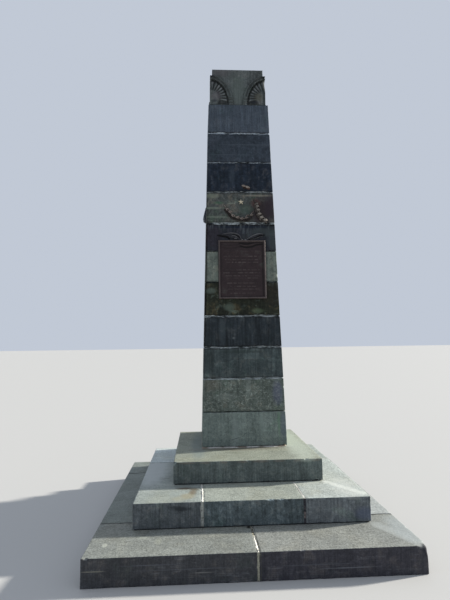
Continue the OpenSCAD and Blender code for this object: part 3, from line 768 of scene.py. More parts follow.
# Patches on the front, as (x from the axis, height, radii across and up, colour, amount)
COURSE_STAINS = {
    1: [(0.362, 0.85, 0.014, 0.13, (78, 104, 82), 0.35), (0.41, 0.82, 0.03, 0.14, (72, 78, 92), 0.35),
        (-0.1, 0.8, 0.03, 0.16, (100, 108, 106), 0.4), (0.18, 0.83, 0.025, 0.13, (98, 108, 104), 0.4)],
    2: [(0.36, 1.15, 0.05, 0.12, (66, 68, 88), 0.45), (-0.33, 1.24, 0.08, 0.06, (70, 64, 56), 0.35),
        (-0.2, 1.12, 0.13, 0.03, (96, 102, 98), 0.25), (0.05, 1.2, 0.025, 0.08, (100, 106, 102), 0.35)],
    # Course 3's thin dark band at 1.585 is painted shadow under the joint above it.
    3: [(-0.36, 1.5, 0.05, 0.12, (34, 38, 38), 0.5), (0.0, 1.585, 0.2, 0.018, (34, 40, 38), 0.5)],
    4: [(-0.22, 1.82, 0.03, 0.14, (54, 60, 63), 0.35), (-0.1, 1.73, 0.012, 0.012, (84, 88, 90), 0.4)],
    5: [(-0.33, 2.24, 0.05, 0.03, (74, 82, 76), 0.5), (-0.14, 2.06, 0.065, 0.035, (76, 86, 78), 0.4),
        (0.16, 2.02, 0.06, 0.025, (70, 80, 64), 0.45), (0.32, 2.2, 0.09, 0.13, (34, 31, 30), 0.6)],
    7: [(-0.31, 2.83, 0.1, 0.13, (40, 34, 39), 0.35), (0.03, 2.88, 0.013, 0.07, (68, 74, 77), 0.4),
        (0.075, 2.87, 0.013, 0.06, (66, 72, 74), 0.35), (0.06, 2.84, 0.05, 0.03, (62, 68, 70), 0.4),
        # The thin dark band at 2.948 is painted shadow under the joint above course 7.
        (0.0, 2.948, 0.3, 0.014, (24, 28, 36), 0.8), (0.24, 2.89, 0.14, 0.05, (56, 62, 62), 0.4),
        (0.35, 2.8, 0.06, 0.12, (54, 60, 62), 0.45)],
    8: [(0.24, 3.12, 0.12, 0.16, (38, 33, 35), 0.9), (0.17, 3.22, 0.05, 0.05, (66, 46, 42), 0.45),
        (0.35, 3.18, 0.07, 0.16, (40, 36, 40), 0.85), (0.18, 3.305, 0.14, 0.01, (98, 94, 86), 0.6),
        (-0.31, 3.3, 0.07, 0.025, (92, 97, 86), 0.5), (-0.3, 3.16, 0.12, 0.012, (94, 102, 92), 0.45),
        (-0.27, 3.06, 0.12, 0.012, (90, 98, 88), 0.4), (-0.24, 3.22, 0.05, 0.015, (50, 74, 58), 0.5),
        # The dark patch at 3.195 is the star's painted shadow.
        (0.03, 3.195, 0.03, 0.025, (38, 42, 40), 0.6), (0.07, 3.14, 0.07, 0.05, (50, 62, 56), 0.5)],
    # Course 9's dark band at 3.365 is painted shadow under the garland stub.
    9: [(-0.087, 3.53, 0.03, 0.1, (52, 58, 64), 0.35), (0.04, 3.365, 0.1, 0.02, (24, 27, 31), 0.6)],
    10: [(0.1, 3.9, 0.3, 0.006, (56, 62, 68), 0.5), (-0.1, 3.78, 0.25, 0.006, (54, 60, 66), 0.5)],
}
# Cracks, as two ends (x from the axis, z), half the width and how dark
COURSE_CRACKS = {1: [((-0.145, 0.68), (-0.03, 0.71), 0.005, 0.55),
                     ((-0.04, 0.706), (0.03, 0.755), 0.005, 0.5)]}
# Joints, by the course below: brightness at the left and right end, half width, painted shade above, painted
# shade below, runs
JOINTS = {
    1: (0.3, 0.3, 0.005, 0.0, 0.0, 0.0), 2: (0.95, 0.95, 0.0075, 0.55, 0.0, 0.0),
    3: (0.8, 0.75, 0.008, 0.65, 0.6, 0.1), 4: (0.95, 0.8, 0.0085, 0.65, 0.6, 0.1),
    5: (0.35, 0.35, 0.005, 0.5, 0.3, 0.1), 6: (0.35, 0.35, 0.005, 0.3, 0.2, 0.1),
    7: (0.78, 0.66, 0.01, 0.4, 0.85, 0.15), 8: (0.55, 0.9, 0.007, 0.4, 0.6, 0.1),
    9: (0.75, 0.7, 0.006, 0.6, 0.2, 0.0), 10: (1.15, 1.15, 0.008, 0.7, 0.3, 0.0),
    11: (0.05, 0.05, 0.004, 0.4, 0.55, 0.0),
}
# Stretches of a joint where no mortar shows, as (x from the axis, half the length)
JOINT_GAPS = {3: [(-0.02, 0.02), (0.15, 0.0), (0.43, 0.05)], 4: [(-0.19, 0.02), (0.17, 0.0), (0.38, 0.03)],
              7: [(-0.37, 0.07), (0.01, 0.03), (0.31, 0.02)], 8: [(-0.02, 0.01), (0.1, 0.0)]}


def front_stains(rows, foot=0.0):
    """Patches on the front of the shaft, from rows like those of COURSE_STAINS with heights over foot."""
    return [((AXIS_X + x, AXIS_Y - half_width(foot + z), foot + z), (rx, 0.12, rz), shade_colour(*colour),
             amount) for x, z, rx, rz, colour, amount in rows]


def square_block(half, low, high, seed, **shape):
    """A weathered block round the axis of the shaft, with its top and its underside hidden."""
    return weathered_box((AXIS_X - half, AXIS_Y - half, low), (AXIS_X + half, AXIS_Y + half, high), seed,
                         hidden=[(2, -1), (2, 1)], **shape)


def make_shaft():
    for k in range(1, COURSES + 1):
        node = f"course_{k}"
        low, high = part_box(node)
        half = half_width((low.z + high.z) / 2)
        points, faces, wear = square_block(half, low.z, high.z, 60 + k, radius=0.0032, roughness=0.0014,
                                           chips=16, largest=0.01)
        taper = half_width(points[:, 2]) / half
        for axis, middle in enumerate((AXIS_X, AXIS_Y)):
            points[:, axis] = middle + (points[:, axis] - middle) * taper
        beds = []
        for j in range(max(k - 1, 1), k + 1):
            left, right, reach, above, below, drip = JOINTS[j]
            # The mortar smear of each joint, with painted shade beside it for the joint's shadow line.
            beds.append((2, joint_height(j), reach, (left, right), dict(
                soot=below if j == k else above, drip=drip * (j == k), gaps=JOINT_GAPS.get(j, ()),
                paint=(134, 142, 150) if j > 8 else (140, 147, 150))))
        material = stone_material(node + "_stone", top=(100, 104, 102), seed=60 + k, beds=beds,
                                  left_painted_shade=LEFT_PAINTED_SHADE.get(k, 0), cracks=COURSE_CRACKS.get(k, ()),
                                  stains=front_stains(COURSE_STAINS.get(k, ())), **COURSE_LOOKS[k])
        make_piece(f"shaft_stone_{k}", node, "shaft_stone", material, points, faces, wear)


def make_beds():
    """Mortar between the courses, patchy and almost flush, and the spread bed under the shaft."""
    fine = dict(rings=((0.0, 0.006), (0.0025, 0.006), (0.02, 0.03)), core_step=0.1)
    for k in range(1, COURSES + 1):
        z = joint_height(k)
        left, right, reach = JOINTS[k][:3]
        half = min(half_width(z), (capital_high.x - capital_low.x) / 2 if k == COURSES else 9) - 0.0004
        thick = max(0.7 * reach, 0.0045) + 0.0005
        shape = square_block(half, z - thick, z + thick, 80 + k, radius=0.0025, roughness=0.004, **fine)
        material = mortar_material(f"bed_mortar_{k}", (140, 149, 158) if k > 8 else (144, 151, 154),
                                   (74, 82, 80) if k < 3 else (40, 45, 48), seed=k, across=(left, right),
                                   dirty=0.75 - 0.45 * max(left, right), gaps=JOINT_GAPS.get(k, ()))
        make_piece(f"bed_{k}", "shaft_beds", "mortar", material, *shape)

    low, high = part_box("foot_bed")
    points, faces, wear = weathered_box(low, high, 99, roughness=0.005, hidden=[(2, -1), (2, 1)],
                                        edge_noise=1.6, **fine)
    x, y = points[:, 0] - AXIS_X, points[:, 1] - AXIS_Y
    beyond = np.maximum(np.abs(x), np.abs(y)) - FOOT_HALF
    thick = (high.z - low.z - 0.001) * (1 - 0.85 * smooth(beyond, 0.0, 0.04))
    ceiling = low.z + 0.001 + thick * (0.7 + 0.3 * fractal(points, 26, 98))
    points[:, 2] = np.minimum(points[:, 2], np.where(beyond > 0, ceiling, high.z))
    spread = smooth(x, FOOT_HALF + 0.01, FOOT_HALF - 0.12)
    front_lip = FOOT_HALF + 0.002 + (0.04 - 0.016 * fractal(points, 15, 97)) * spread
    side_lip = FOOT_HALF + 0.004 - 0.006 * fractal(points, 15, 96)
    points[:, 0] = AXIS_X + np.clip(x, -side_lip, side_lip - 0.014)
    points[:, 1] = AXIS_Y + np.clip(y, -front_lip, side_lip)
    gaps = ((-0.43, 0.05), (-0.23, 0.01), (-0.03, 0.05), (0.17, 0.03), (0.44, 0.1))
    material = mortar_material("foot_mortar", (196, 194, 188), (104, 98, 90), dirty=0.3, seed=9,
                               top=(220, 219, 215), across=(1.0, 0.1), gaps=gaps)
    make_piece("foot_mortar", "foot_bed", "mortar", material, points, faces, wear)


# Capital: a square stone whose faces are carved, each with two ribbed fans that wrap round the corners

FAN_RISE, CROWN_H, CROWN_SETBACK = 0.01, 0.085, 0.026
OUTER, INNER = (0.268, 0.352), (0.214, 0.3061)                 # Edges of the moulding, across and up
HUB_X, HUB_Z, HUB_R, HUB_DEPTH = 0.009, 0.072, 0.086, 0.003
RIBS, RIB_FROM = 8, -12                                        # Number, and where they start, in degrees
RIB_STEP = (90 - RIB_FROM) / RIBS
FALL = 0.021 / (INNER[1] - HUB_Z - HUB_R)                      # Slope of the ground away from the hub
TURNS = ((1, 0), (0, 1), (-1, 0), (0, -1))                     # Cosine and sine for each face, front first


def capital_carving(a, b, shoulder):
    """Depth, painted shade and painted highlight at a distance from the nearest corner and a height over the
    foot.
    """
    z = b - FAN_RISE
    outer, inner = np.hypot(a / OUTER[0], z / OUTER[1]), np.hypot(a / INNER[0], z / INNER[1])
    dx, dz = a - HUB_X, z - HUB_Z
    reach = np.hypot(dx, dz)
    ground = np.minimum(HUB_DEPTH + FALL * np.maximum(reach - HUB_R, 0), 0.024)
    depth, crest = ground, np.zeros_like(ground)
    for i in range(RIBS):
        angle = math.radians(RIB_FROM + RIB_STEP * (i + 0.5))
        c, s = math.cos(angle), math.sin(angle)
        p = c * c / INNER[0] ** 2 + s * s / INNER[1] ** 2
        q = HUB_X * c / INNER[0] ** 2 + HUB_Z * s / INNER[1] ** 2
        w = HUB_X ** 2 / INNER[0] ** 2 + HUB_Z ** 2 / INNER[1] ** 2 - 1
        far = (math.sqrt(q * q - p * w) - q) / p
        tip = 0.36 * far * math.radians(RIB_STEP)
        run = far - tip - HUB_R
        along, off = dx * c + dz * s - HUB_R, np.abs(dz * c - dx * s)
        radius = tip * (0.25 + 0.75 * np.clip(along / run, 0, 1))
        over = np.maximum(along - run, 0) + np.maximum(-along, 0)
        rise = np.sqrt(np.maximum(radius ** 2 - off ** 2 - over ** 2, 0))
        crown = HUB_DEPTH + FALL * np.clip(along, 0, run) + 0.4 * radius - rise
        depth = np.where(rise > 0, np.minimum(depth, crown), depth)
        # Painted highlight along each rib's crest.
        painted_light = np.clip(1 - off / (0.75 * radius), 0, 1) * (0.6 + 0.4 * math.sin(5 * i))
        crest = np.maximum(crest, (rise > 0) * painted_light)
    on_rib = np.clip((ground - depth) / 0.006, 0, 1)
    fan = smooth(reach, HUB_R - 0.005, HUB_R + 0.02)
    # The painted rib highlight grows towards the outer ends of the ribs.
    lit = 0.35 + 0.65 * smooth(reach, HUB_R, HUB_R + 0.1)
    # Painted shade between the ribs and in a line just inside the moulding, where its shadow falls.
    painted_shade = np.maximum(fan * (1 - on_rib) * 0.85, smooth(inner, 0.86, 0.93) * (inner < 1.02) * (z > 0.02))
    wear = (0.25 * on_rib + 0.75 * crest) * fan * lit * smooth(inner, 0.97, 0.88)

    # The two-roll moulding round the fan, with bands at its foot, and painted shade in its hollow and in the
    # notches
    border = np.clip((inner - 1) / np.maximum(inner - outer, 1e-6), 0, 1)
    hollow = np.sin(np.pi * np.clip((border - 0.25) / 0.5, 0, 1)) ** 0.6
    roll = np.maximum(np.abs(border - 0.5) - 0.25, 0) / 0.25
    notch = np.abs((z + 0.0095) % 0.019 - 0.0095) < 0.0036
    bands = np.where(notch & (z > 0.01) & (z < 0.083), 0.008, 0.0006)
    low_part = z < 0.095
    moulding = np.where(low_part, bands, 0.0006 + 0.008 * hollow + 0.004 * smooth(roll, 0.55, 1.0))
    groove_painted_shade = np.where(low_part, 0.2 + 0.7 * (bands > 0.004), 0.22 + 0.35 * hollow)
    inside = smooth(inner, 0.99, 1.01)
    depth = depth + (moulding - depth) * inside
    painted_shade = painted_shade + (groove_painted_shade - painted_shade) * inside
    outside = smooth(outer, 0.992, 1.012)
    depth = depth + (CROWN_SETBACK - depth) * outside
    # Painted shade in a band on the crown just outside the moulding.
    painted_shade = painted_shade * (1 - outside) + 0.35 * outside * smooth(outer, 1.06, 1.0)
    plain = smooth(b, FAN_RISE, FAN_RISE - 0.004)
    depth, painted_shade = depth * (1 - plain) + 0.001 * plain, painted_shade * (1 - plain)
    above = b >= shoulder
    return tuple(np.where(above, crown, carved) for crown, carved in (
        (CROWN_SETBACK, depth), (0, painted_shade), (0, wear * (1 - inside))))


def tube_faces(first, rows, around):
    """Faces round rows of points, from the first point's number on, and the faces at both ends."""
    ids = first + np.arange(rows * around).reshape(rows, around)
    after = np.roll(ids, -1, axis=1)
    sides = np.stack([ids[:-1], after[:-1], after[1:], ids[1:]], axis=-1).reshape(-1, 4)
    return sides.tolist() + [ids[0, ::-1].tolist(), ids[-1].tolist()]


def make_capital():
    foot, height = capital_low.z, capital_high.z - capital_low.z
    half = (capital_high.x - capital_low.x) / 2
    shoulder = height - CROWN_H
    levels = np.concatenate([np.linspace(0, shoulder, 98), [shoulder + 0.0012],
                             np.linspace(shoulder + 0.006, height - 0.004, 14), [height - 0.001, height]])
    across = 164
    points, wears, painted_shades = [], [], []
    for b in levels:
        corner = np.zeros(1)
        for _ in range(5):
            corner = capital_carving(corner, np.full(1, b), shoulder)[0]
        u = np.linspace(corner[0] - half, half - corner[0], across + 1)[:-1]
        depth, painted_shade, wear = capital_carving(half - np.abs(u), np.full_like(u, b), shoulder)
        v = depth + 0.004 * smooth(b, height - 0.005, height) + 0.003 * smooth(b, 0.004, 0.0) - half
        z = np.full_like(u, foot + b)
        points += [np.column_stack([c * u - s * v + AXIS_X, s * u + c * v + AXIS_Y, z]) for c, s in TURNS]
        wears += [wear] * 4
        painted_shades += [painted_shade] * 4
    points = np.vstack(points)
    inward = [AXIS_X, AXIS_Y, 0] - points * (1, 1, 0)
    inward /= np.abs(inward).max(axis=1, keepdims=True)
    worn = 0.0012 * fractal(points, 30, 7) + 0.001 * noise(points, 110, 8)
    points += inward * worn[:, None]
    # Marks on the front; the dark spots at both ends of the shoulder are painted shade, and the small dark
    # spots low on the hubs are painted shade in holes.
    stains = front_stains([
        *((x, 0.352, 0.05, 0.012, (24, 26, 30), 0.9) for x in (0.02 - half, half - 0.02)),
        (0.0, 0.2, 0.09, 0.2, (70, 77, 74), 0.5), (-0.2, 0.4, 0.12, 0.05, (64, 62, 64), 0.5),
        (-0.24, 0.11, 0.06, 0.05, (66, 63, 67), 0.45), (-0.27, 0.05, 0.03, 0.015, (30, 32, 38), 0.6),
        (0.24, 0.1, 0.05, 0.05, (66, 64, 54), 0.4), (0.19, 0.045, 0.05, 0.015, (30, 32, 38), 0.5)], foot)
    # Painted shade: a dark strip down the right corner of the fans, over the rib that the sun lights.
    stains.append(((AXIS_X + half - 0.01, AXIS_Y - half, foot + 0.2), (0.022, 0.04, 0.2),
                   shade_colour(34, 38, 38), 0.8))
    # worn is the colour of the painted highlight on the rib crests.
    material = stone_material("capital_stone", (62, 66, 66), (100, 104, 102), 75, mottle=0.35, streak=0.25,
                              tooling=0.3, algae=0.3, tinted=0.3, tint=(66, 62, 60), worn=(94, 95, 98),
                              # Painted shade under the joint below the capital.
                              beds=[(2, joint_height(COURSES), 0.004, (0.05, 0.05), dict(soot=0.5))],
                              stains=stains)
    make_piece("carved_capital", "capital", "shaft_stone", material, points,
               tube_faces(0, len(levels), 4 * across), np.concatenate(wears), np.concatenate(painted_shades))


# Ornaments on the faces of the shaft

def face_points(turn, x, z, out):
    """World places of points given across, up and out from a face of the shaft."""
    lean = math.atan(BATTER)
    y = -half_width(z) - out * math.cos(lean)
    c, s = TURNS[turn]
    return np.stack([AXIS_X + c * x - s * y, AXIS_Y + s * x + c * y, z + out * math.sin(lean)], axis=-1)


def near_line(gx, gz, line, width):
    """1 on a curve through points of (x, z), falling to 0 beside it."""
    curve = spline(line, 8)
    best = np.full(gx.shape, 9.0)
    for (x0, z0), (x1, z1) in zip(curve[:-1], curve[1:]):
        dx, dz = x1 - x0, z1 - z0
        t = np.clip(((gx - x0) * dx + (gz - z0) * dz) / (dx * dx + dz * dz), 0, 1)
        best = np.minimum(best, np.hypot(gx - x0 - t * dx, gz - z0 - t * dz))
    return np.exp(-(best / width) ** 2)


# The swag on the plaque, as curves of (x from the axis, height) and how strong each is
# The folds are painted shadow lines over a shallow groove; the ridges are raised and carry a painted
# highlight.
SWAG_FOLDS = (([(-0.017, 2.761), (0.059, 2.752), (0.144, 2.769), (0.252, 2.775)], 1.0),
              ([(-0.008, 2.727), (0.051, 2.714), (0.122, 2.722), (0.164, 2.74), (0.25, 2.753)], 1.0),
              ([(-0.235, 2.752), (-0.17, 2.735), (-0.1, 2.738), (-0.03, 2.748)], 0.35),
              ([(-0.235, 2.722), (-0.16, 2.705), (-0.08, 2.709), (-0.02, 2.722)], 0.35))
SWAG_RIDGES = (([(-0.01, 2.744), (0.055, 2.733), (0.13, 2.745), (0.17, 2.756), (0.25, 2.764)], 0.75),
               ([(0.0, 2.712), (0.051, 2.699), (0.125, 2.706), (0.17, 2.725), (0.25, 2.737)], 0.4),
               ([(-0.235, 2.737), (-0.165, 2.72), (-0.09, 2.723), (-0.02, 2.735)], 0.3))
# Heights of the rows of plain raised bars in the plaque's field, over the ground
PLAQUE_ROWS = (2.671, 2.614, 2.576, 2.548, 2.464, 2.432, 2.399, 2.374, 2.32, 2.284, 2.254, 2.209, 2.176)


def make_plaque():
    """The cast plaque: a moulded frame, a swag across the top of its field and plain raised bars."""
    width, height = plaque_high.x - plaque_low.x, plaque_high.z - plaque_low.z
    nx, nz = 180, 224
    gx, gz = np.meshgrid(np.linspace(-width / 2, width / 2, nx + 1), np.linspace(0, height, nz + 1),
                         indexing="ij")
    x, z = (plaque_low.x + plaque_high.x) / 2 - AXIS_X + gx, plaque_low.z + gz
    rim = np.minimum(width / 2 - np.abs(gx), np.minimum(gz, height - gz))
    plate = 0.014
    out = np.where(rim < 0.021, 0.022 + 0.003 * np.sin(np.pi * np.clip((rim - 0.003) / 0.015, 0, 1)), plate)
    out += (plate - out) * smooth(rim, 0.017, 0.022)
    out -= 0.009 * smooth(rim, 0.005, 0.0)
    field = smooth(rim, 0.024, 0.03)
    wear = (0.54 + 0.1 * smooth(gx, 0.2, 0.25)) * smooth(rim, 0.021, 0.017) * smooth(rim, 0.0, 0.003)
    # Painted shade: a dark ring just inside the frame and a dark line inside its right edge.
    painted_shade = np.maximum(0.45 * np.exp(-((rim - 0.028) / 0.006) ** 2),
                      0.65 * np.exp(-((width / 2 - gx - 0.036) / 0.01) ** 2) * field)
    # Painted shadow along the swag's folds.
    for line, strength in SWAG_FOLDS:
        mark = strength * near_line(x, z, line, 0.0115) * field
        painted_shade = np.maximum(painted_shade, mark)
        out -= 0.002 * mark
    # Painted highlight along the swag's raised ridges.
    for line, strength in SWAG_RIDGES:
        mark = strength * near_line(x, z, line, 0.009) * field
        wear = np.maximum(wear, 0.4 * mark)
        out += 0.007 * mark
    rng = np.random.default_rng(5)
    across = gx / (width / 2)
    for row, level in enumerate(PLAQUE_ROWS):
        tall, light = (0.0055, 1) if row else (0.01, 0.6)
        edge = rng.uniform(0.5, 0.84)
        start = -edge
        while start < edge - 0.04:
            end = min(start + rng.uniform(0.08, 0.3), edge)
            bar = smooth(across, start, start + 0.01) * smooth(across, end, end - 0.01)
            bar = bar * smooth(np.abs(z - level), tall + 0.001, tall - 0.001)
            out = np.maximum(out, plate + 0.002 * bar * field)
            wear = np.maximum(wear, rng.uniform(0.25, 0.5) * light * bar * field)
            start = end + 0.035
    ids = np.arange(gx.size).reshape(gx.shape)
    rim_ids = np.concatenate([ids[:, 0], ids[nx, 1:], ids[nx - 1::-1, nz], ids[0, nz - 1:0:-1]])
    front, back = (face_points(FRONT, x, z, o).reshape(-1, 3) for o in (out, np.full(out.shape, 0.0003)))
    behind = gx.size + np.arange(len(rim_ids))
    faces = [np.stack(corners, axis=-1).reshape(-1, 4) for corners in (
        (ids[:-1, :-1], ids[1:, :-1], ids[1:, 1:], ids[:-1, 1:]),
        (np.roll(rim_ids, -1), rim_ids, behind, np.roll(behind, -1)))]
    material = bronze_material("plaque_bronze", (43, 37, 38), (80, 74, 72), 3)
    # The plate's edge faces are rubbed lighter and darkened by painted shade.
    make_piece("cast_plaque", "plaque", "bronze", material, np.vstack([front, back[rim_ids]]),
               np.vstack(faces).tolist() + [behind[::-1].tolist()],
               *(np.append(value, [edge] * len(rim_ids)) for value, edge in ((wear, 0.4), (painted_shade, 0.6))))


def spline(points, steps):
    """A smooth curve through points, with so many steps for each stretch."""
    points = np.array(points)
    p = np.vstack([2 * points[0] - points[1], points, 2 * points[-1] - points[-2]])
    out = []
    for a, b, c, d in zip(p, p[1:], p[2:], p[3:]):
        for t in np.arange(steps) / steps:
            out.append(0.5 * ((2 * b) + (c - a) * t + (2 * a - 5 * b + 4 * c - d) * t ** 2
                              + (3 * b - a - 3 * c + d) * t ** 3))
    return np.array(out + [p[-2]])


class Relief:
    """Collects raised strokes and leaves on one face of the shaft into one mesh."""

    def __init__(self, turn):
        self.turn, self.points, self.faces, self.wear, self.painted_shade = turn, [], [], [], []

    def ribbon(self, line, widths, heights, light, painted_shade=0.0, ridge=0.0):
        """A raised stroke along a line of (x, z), with the width and the height at each point."""
        ahead = np.gradient(line, axis=0)
        ahead /= np.maximum(np.linalg.norm(ahead, axis=1, keepdims=True), 1e-9)
        arc = np.linspace(0, np.pi, 9)
        rise = np.sin(arc)
        self.faces += tube_faces(len(arc) * len(self.points), len(line), len(arc))
        for spot, (along_x, along_z), width, height in zip(line, ahead, widths, heights):
            out = rise ** 0.8 * height * (1 + ridge * np.exp(-(np.cos(arc) / 0.18) ** 2)) + 0.0004
            x, z = (spot + (np.cos(arc) * width / 2)[:, None] * (-along_z, along_x)).T
            self.points.append(face_points(self.turn, x, z, out))
            # Painted highlight along the crest, scaled by light (partly rubbed bronze), and painted shade
            # along the low edges, never less than the shade given.
            self.wear.append(np.clip(rise - 0.3, 0, 1) * 1.4 * light)
            self.painted_shade.append(np.maximum(painted_shade, 0.8 * np.clip(1 - rise / 0.5, 0, 1)))

    def stroke(self, points, width, height, *looks):
        """A raised curve that thins out towards both ends."""
        line = spline(points, 7)
        t = np.linspace(0, 1, len(line))
        full = np.sin(np.pi * np.clip(0.12 + 0.76 * t, 0, 1)) ** 0.6
        self.ribbon(line, width * full, height * (0.3 + 0.7 * full), *looks)

    def leaf(self, x, z, heading, length, width, height, light, painted_shade=0.0, bend=0.25):
        """A pointed leaf with a midrib, from its root."""
        t = np.linspace(0, 1, 9)
        angle = heading + bend * (t - 0.5)
        line = np.stack([x + length * t * np.cos(angle), z + length * t * np.sin(angle)], axis=1)
        shape = np.sin(np.pi * np.clip(t * 0.92 + 0.06, 0, 1)) ** 0.85
        self.ribbon(line, width * shape + 0.0015, height * (0.35 + 0.65 * np.sin(np.pi * t) ** 0.7), light,
                    painted_shade, 0.35)

    def knob(self, x, z, width, tall, height, *looks):
        """A round lump such as a fruit or a boss, flattened on the stone."""
        t = np.linspace(0, 1, 9)
        full = np.sqrt(np.maximum(1 - (2 * t - 1) ** 2, 0.02))
        self.ribbon(np.stack([x + width * (t - 0.5), z + 0 * t], axis=1), tall * full, height * full, *looks)

    def leafy_stem(self, points, seed, length, width, height, stem, light, painted_shade, spread):
        """A stem through the points with leaves on both sides."""
        rng = np.random.default_rng(seed)
        line = spline(points, 6)
        t = np.linspace(0, 1, len(line))
        self.ribbon(line, stem * (1 - 0.35 * t), 0.8 * height * (1 - 0.3 * t), 0.5 * light, painted_shade)
        for i in range(0, len(line) - 1, 2):
            ahead = math.atan2(*(line[i + 1] - line[i])[::-1])
            for side in (-1, 1):
                size = rng.uniform(0.8, 1.15)
                self.leaf(*line[i], ahead + side * spread * rng.uniform(0.75, 1.25), length * size,
                          width * size, height * rng.uniform(0.8, 1.1), light * rng.uniform(0.5, 1.2), painted_shade,
                          -0.5 * side)

    def build(self, name, node, *metal):
        """Makes the piece; metal lists the arguments of bronze_material."""
        make_piece(name, node, "bronze", bronze_material(*metal), np.vstack(self.points), self.faces,
                   np.concatenate(self.wear), np.concatenate(self.painted_shade))


def make_wings():
    """Spread wings: arched feathers on the left, one long sweep on the right, and a boss between them."""
    wings = Relief(FRONT)
    for i, tip in enumerate([(-0.252, 2.856), (-0.236, 2.845), (-0.205, 2.834), (-0.168, 2.824)]):
        sink = 0.01 * i
        wings.stroke([tip, (-0.178, 2.866 - sink), (-0.09, 2.868 - 1.4 * sink), (-0.028, 2.846 - 1.2 * sink),
                      (0.002, 2.806 - 0.3 * sink)], 0.017, 0.013 - 0.001 * i, 0.25, 0.1)
    # Strokes with light paint the highlight on the feathers' upper edges; those with no light and strong
    # shade are painted shadow under the feathers.
    for stroke in (
            ([(-0.206, 2.861), (-0.15, 2.871), (-0.08, 2.874), (-0.022, 2.853), (0.003, 2.808)], 0.01, 0.017,
             0.75),
            ([(-0.105, 2.838), (-0.085, 2.845), (-0.055, 2.838), (-0.03, 2.818)], 0.009, 0.016, 0.75),
            ([(-0.256, 2.852), (-0.191, 2.841), (-0.149, 2.834), (-0.118, 2.808)], 0.019, 0.016, 0, 0.95),
            ([(-0.098, 2.858), (-0.061, 2.853), (-0.027, 2.836), (-0.005, 2.811)], 0.016, 0.018, 0, 0.95)):
        wings.stroke(*stroke)
    wings.knob(-0.057, 2.817, 0.036, 0.026, 0.012, 0.7)
    wings.knob(-0.057, 2.817, 0.016, 0.014, 0.0135, 0, 0.9)
    for i, tip in enumerate([(0.254, 2.858), (0.246, 2.846), (0.228, 2.836), (0.2, 2.824)]):
        sink = 0.008 * i
        wings.stroke([tip, (0.182, 2.858 - 1.3 * sink), (0.118, 2.834 - sink), (0.056, 2.803 - 0.4 * sink)],
                     0.017, 0.013 - 0.001 * i, 0.25, 0.1)
    # Right wing: a painted highlight stroke above and a painted shadow stroke below the feathers.
    for stroke in (([(0.247, 2.864), (0.188, 2.865), (0.125, 2.843), (0.062, 2.806)], 0.01, 0.017, 0.8),
                   ([(0.262, 2.856), (0.205, 2.846), (0.165, 2.826), (0.082, 2.803)], 0.019, 0.018, 0, 0.95),
                   ([(0.245, 2.838), (0.195, 2.828), (0.15, 2.812), (0.1, 2.802)], 0.009, 0.012, 0.55)):
        wings.stroke(*stroke)
    wings.knob(0.014, 2.801, 0.026, 0.016, 0.018, 0.9)
    wings.knob(0.048, 2.799, 0.028, 0.014, 0.017, 0.9)
    for i in range(5):
        x = 0.022 + 0.012 * i
        wings.stroke([(x + 0.004, 2.806), (x + 0.001 * (i - 2), 2.835), (x + 0.003 * (i - 2), 2.872)],
                     0.006, 0.008, 0.45)
    wings.build("wings_relief", "spread_wings", "wing_bronze", (38, 39, 43), (92, 92, 94), 8, 0.3)


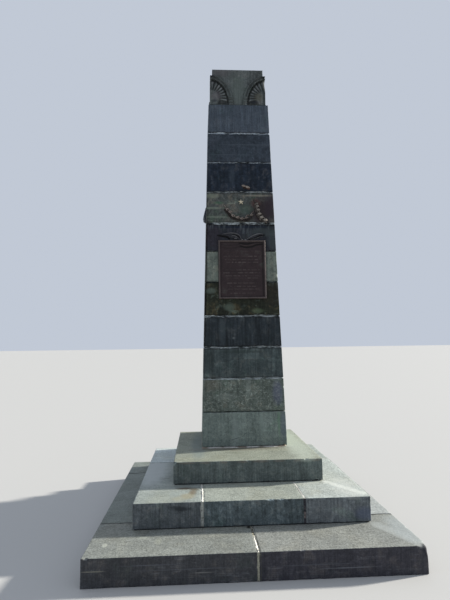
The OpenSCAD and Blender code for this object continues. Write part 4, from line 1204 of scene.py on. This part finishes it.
def make_garlands():
    left = Relief(FRONT)
    # The leafy stem is darkened by painted shade; the leaves laid over it carry painted highlight.
    left.leafy_stem([(-0.176, 3.15), (-0.138, 3.1), (-0.103, 3.056), (-0.05, 3.031), (0.016, 3.022),
                     (0.082, 3.026), (0.125, 3.06)], 21, 0.024, 0.01, 0.01, 0.009, 0.3, 0.35, 0.6)
    upper = [(-0.15, 3.144), (-0.121, 3.116), (-0.088, 3.076), (-0.039, 3.05), (0.009, 3.043),
             (0.066, 3.047), (0.117, 3.085)]
    for i, (x, z) in enumerate(upper):
        before, after = upper[max(i - 1, 0)], upper[min(i + 1, len(upper) - 1)]
        ahead = math.atan2(after[1] - before[1], after[0] - before[0])
        for turn, size in ((0.35, 1.0), (-0.25, 0.9), (math.pi - 0.6, 0.7)):
            left.leaf(x - 0.02 * math.cos(ahead), z - 0.02 * math.sin(ahead),
                      ahead + turn + 0.3 * math.sin(3 * i), 0.048 * size, 0.018 * size, 0.018,
                      1.1 - 0.05 * i)
    left.leaf(0.125, 3.098, 0.8, 0.045, 0.018, 0.01, 0.35)
    left.build("garland_left_relief", "garland_left", "garland_bronze", (46, 42, 42), (104, 97, 93), 5, 0.1)

    right = Relief(FRONT)
    lumps = [(0.179, 3.207), (0.187, 3.178), (0.195, 3.137), (0.208, 3.092), (0.23, 3.052), (0.272, 3.021)]
    # The stem behind the lumps is darkened by painted shade; the lumps carry painted highlight.
    right.leafy_stem([(x - 0.018, z - 0.004) for x, z in lumps], 22, 0.024, 0.014, 0.011, 0.014, 0.45, 0.3,
                     0.9)
    for i, (x, z) in enumerate(lumps):
        size = 1.0 + 0.06 * i
        right.knob(x + 0.003, z + 0.003, 0.04 * size, 0.032 * size, 0.02, 0.5 + 0.07 * i)
        right.knob(x - 0.008, z - 0.012, 0.028 * size, 0.024 * size, 0.016, 0.35)
        for turn in (0.6, 3.6):
            right.leaf(x, z, turn + 0.9 * i, 0.03 * size, 0.02 * size, 0.013, 0.45)
    right.leaf(0.15, 3.262, -1.2, 0.05, 0.016, 0.006, 0.15)
    right.build("garland_right_relief", "garland_right", "right_garland_bronze", (48, 44, 43),
                (112, 107, 100), 6, 0.05)

    remnant = Relief(FRONT)
    remnant.leaf(0.02, 3.424, -0.35, 0.052, 0.03, 0.0095, 0.75)
    remnant.leaf(0.058, 3.414, -0.45, 0.058, 0.034, 0.01, 0.8)
    remnant.knob(0.094, 3.386, 0.04, 0.026, 0.009, 0.1)
    # A dark leaf under the stub, with no light: painted shadow.
    remnant.leaf(0.034, 3.402, -0.6, 0.04, 0.016, 0.006, 0.0, 0.7)
    remnant.build("garland_stub", "garland_remnant", "stub_bronze", (60, 48, 43), (114, 108, 102), 7)

    side = Relief(LEFT)
    line = spline([(-0.174, 3.226), (-0.156, 3.172), (-0.096, 3.14), (0.0, 3.128), (0.096, 3.14),
                   (0.156, 3.172), (0.174, 3.226)], 7)
    full = np.sin(np.pi * np.linspace(0, 1, len(line))) ** 1.5
    side.ribbon(line, 0.02 + 0.034 * full, 0.005 + 0.02 * full, 0.4)
    for i in range(2, len(line) - 3, 2):
        ahead = math.atan2(*(line[i + 1] - line[i])[::-1])
        for turn in (-0.5, 0.5):
            side.leaf(*line[i], ahead + turn, 0.036, 0.02, 0.005 + 0.02 * full[i], 0.25)
    side.build("side_garland_relief", "side_garland", "side_bronze", (38, 42, 50), (72, 76, 82), 4)


def make_star():
    """Five-pointed star with ridges and a thin rim."""
    low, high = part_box("star")
    x0, z0 = (low.x + high.x) / 2 - AXIS_X, (low.z + high.z) / 2
    radius = (high.x - low.x) / 2 / math.cos(math.radians(18))
    points, wear = [], []
    for scale, out in ((1.0, 0.0004), (1.0, 0.003), (0.93, 0.0046), (0.86, 0.0046)):
        for i in range(10):
            reach, angle = radius * (0.37 if i % 2 else 1) * scale, math.radians(36 * i)
            points.append((x0 + reach * math.sin(angle), z0 + reach * math.cos(angle), out))
            wear.append(0.7 if scale == 1 else 0.95)
    points.append((x0, z0, 0.016))
    wear.append(1.0)
    faces = [range(10)]
    for ring in range(3):
        for i in range(10):
            a, b = 10 * ring + i, 10 * ring + (i + 1) % 10
            faces.append((a, a + 10, b + 10, b))
    faces += [(30 + i, 40, 30 + (i + 1) % 10) for i in range(10)]
    material = bronze_material("star_bronze", (112, 105, 92), (158, 151, 134), 9, 0.1)
    make_piece("raised_star", "star", "star_bronze", material, face_points(FRONT, *np.transpose(points)),
               faces, wear, sharp=True)


for make in (make_camera, make_studio, make_base, make_step, make_slab, finish_fill, make_tier_mortar,
             make_shaft, make_beds, make_capital, make_plaque, make_wings, make_garlands, make_star):
    make()
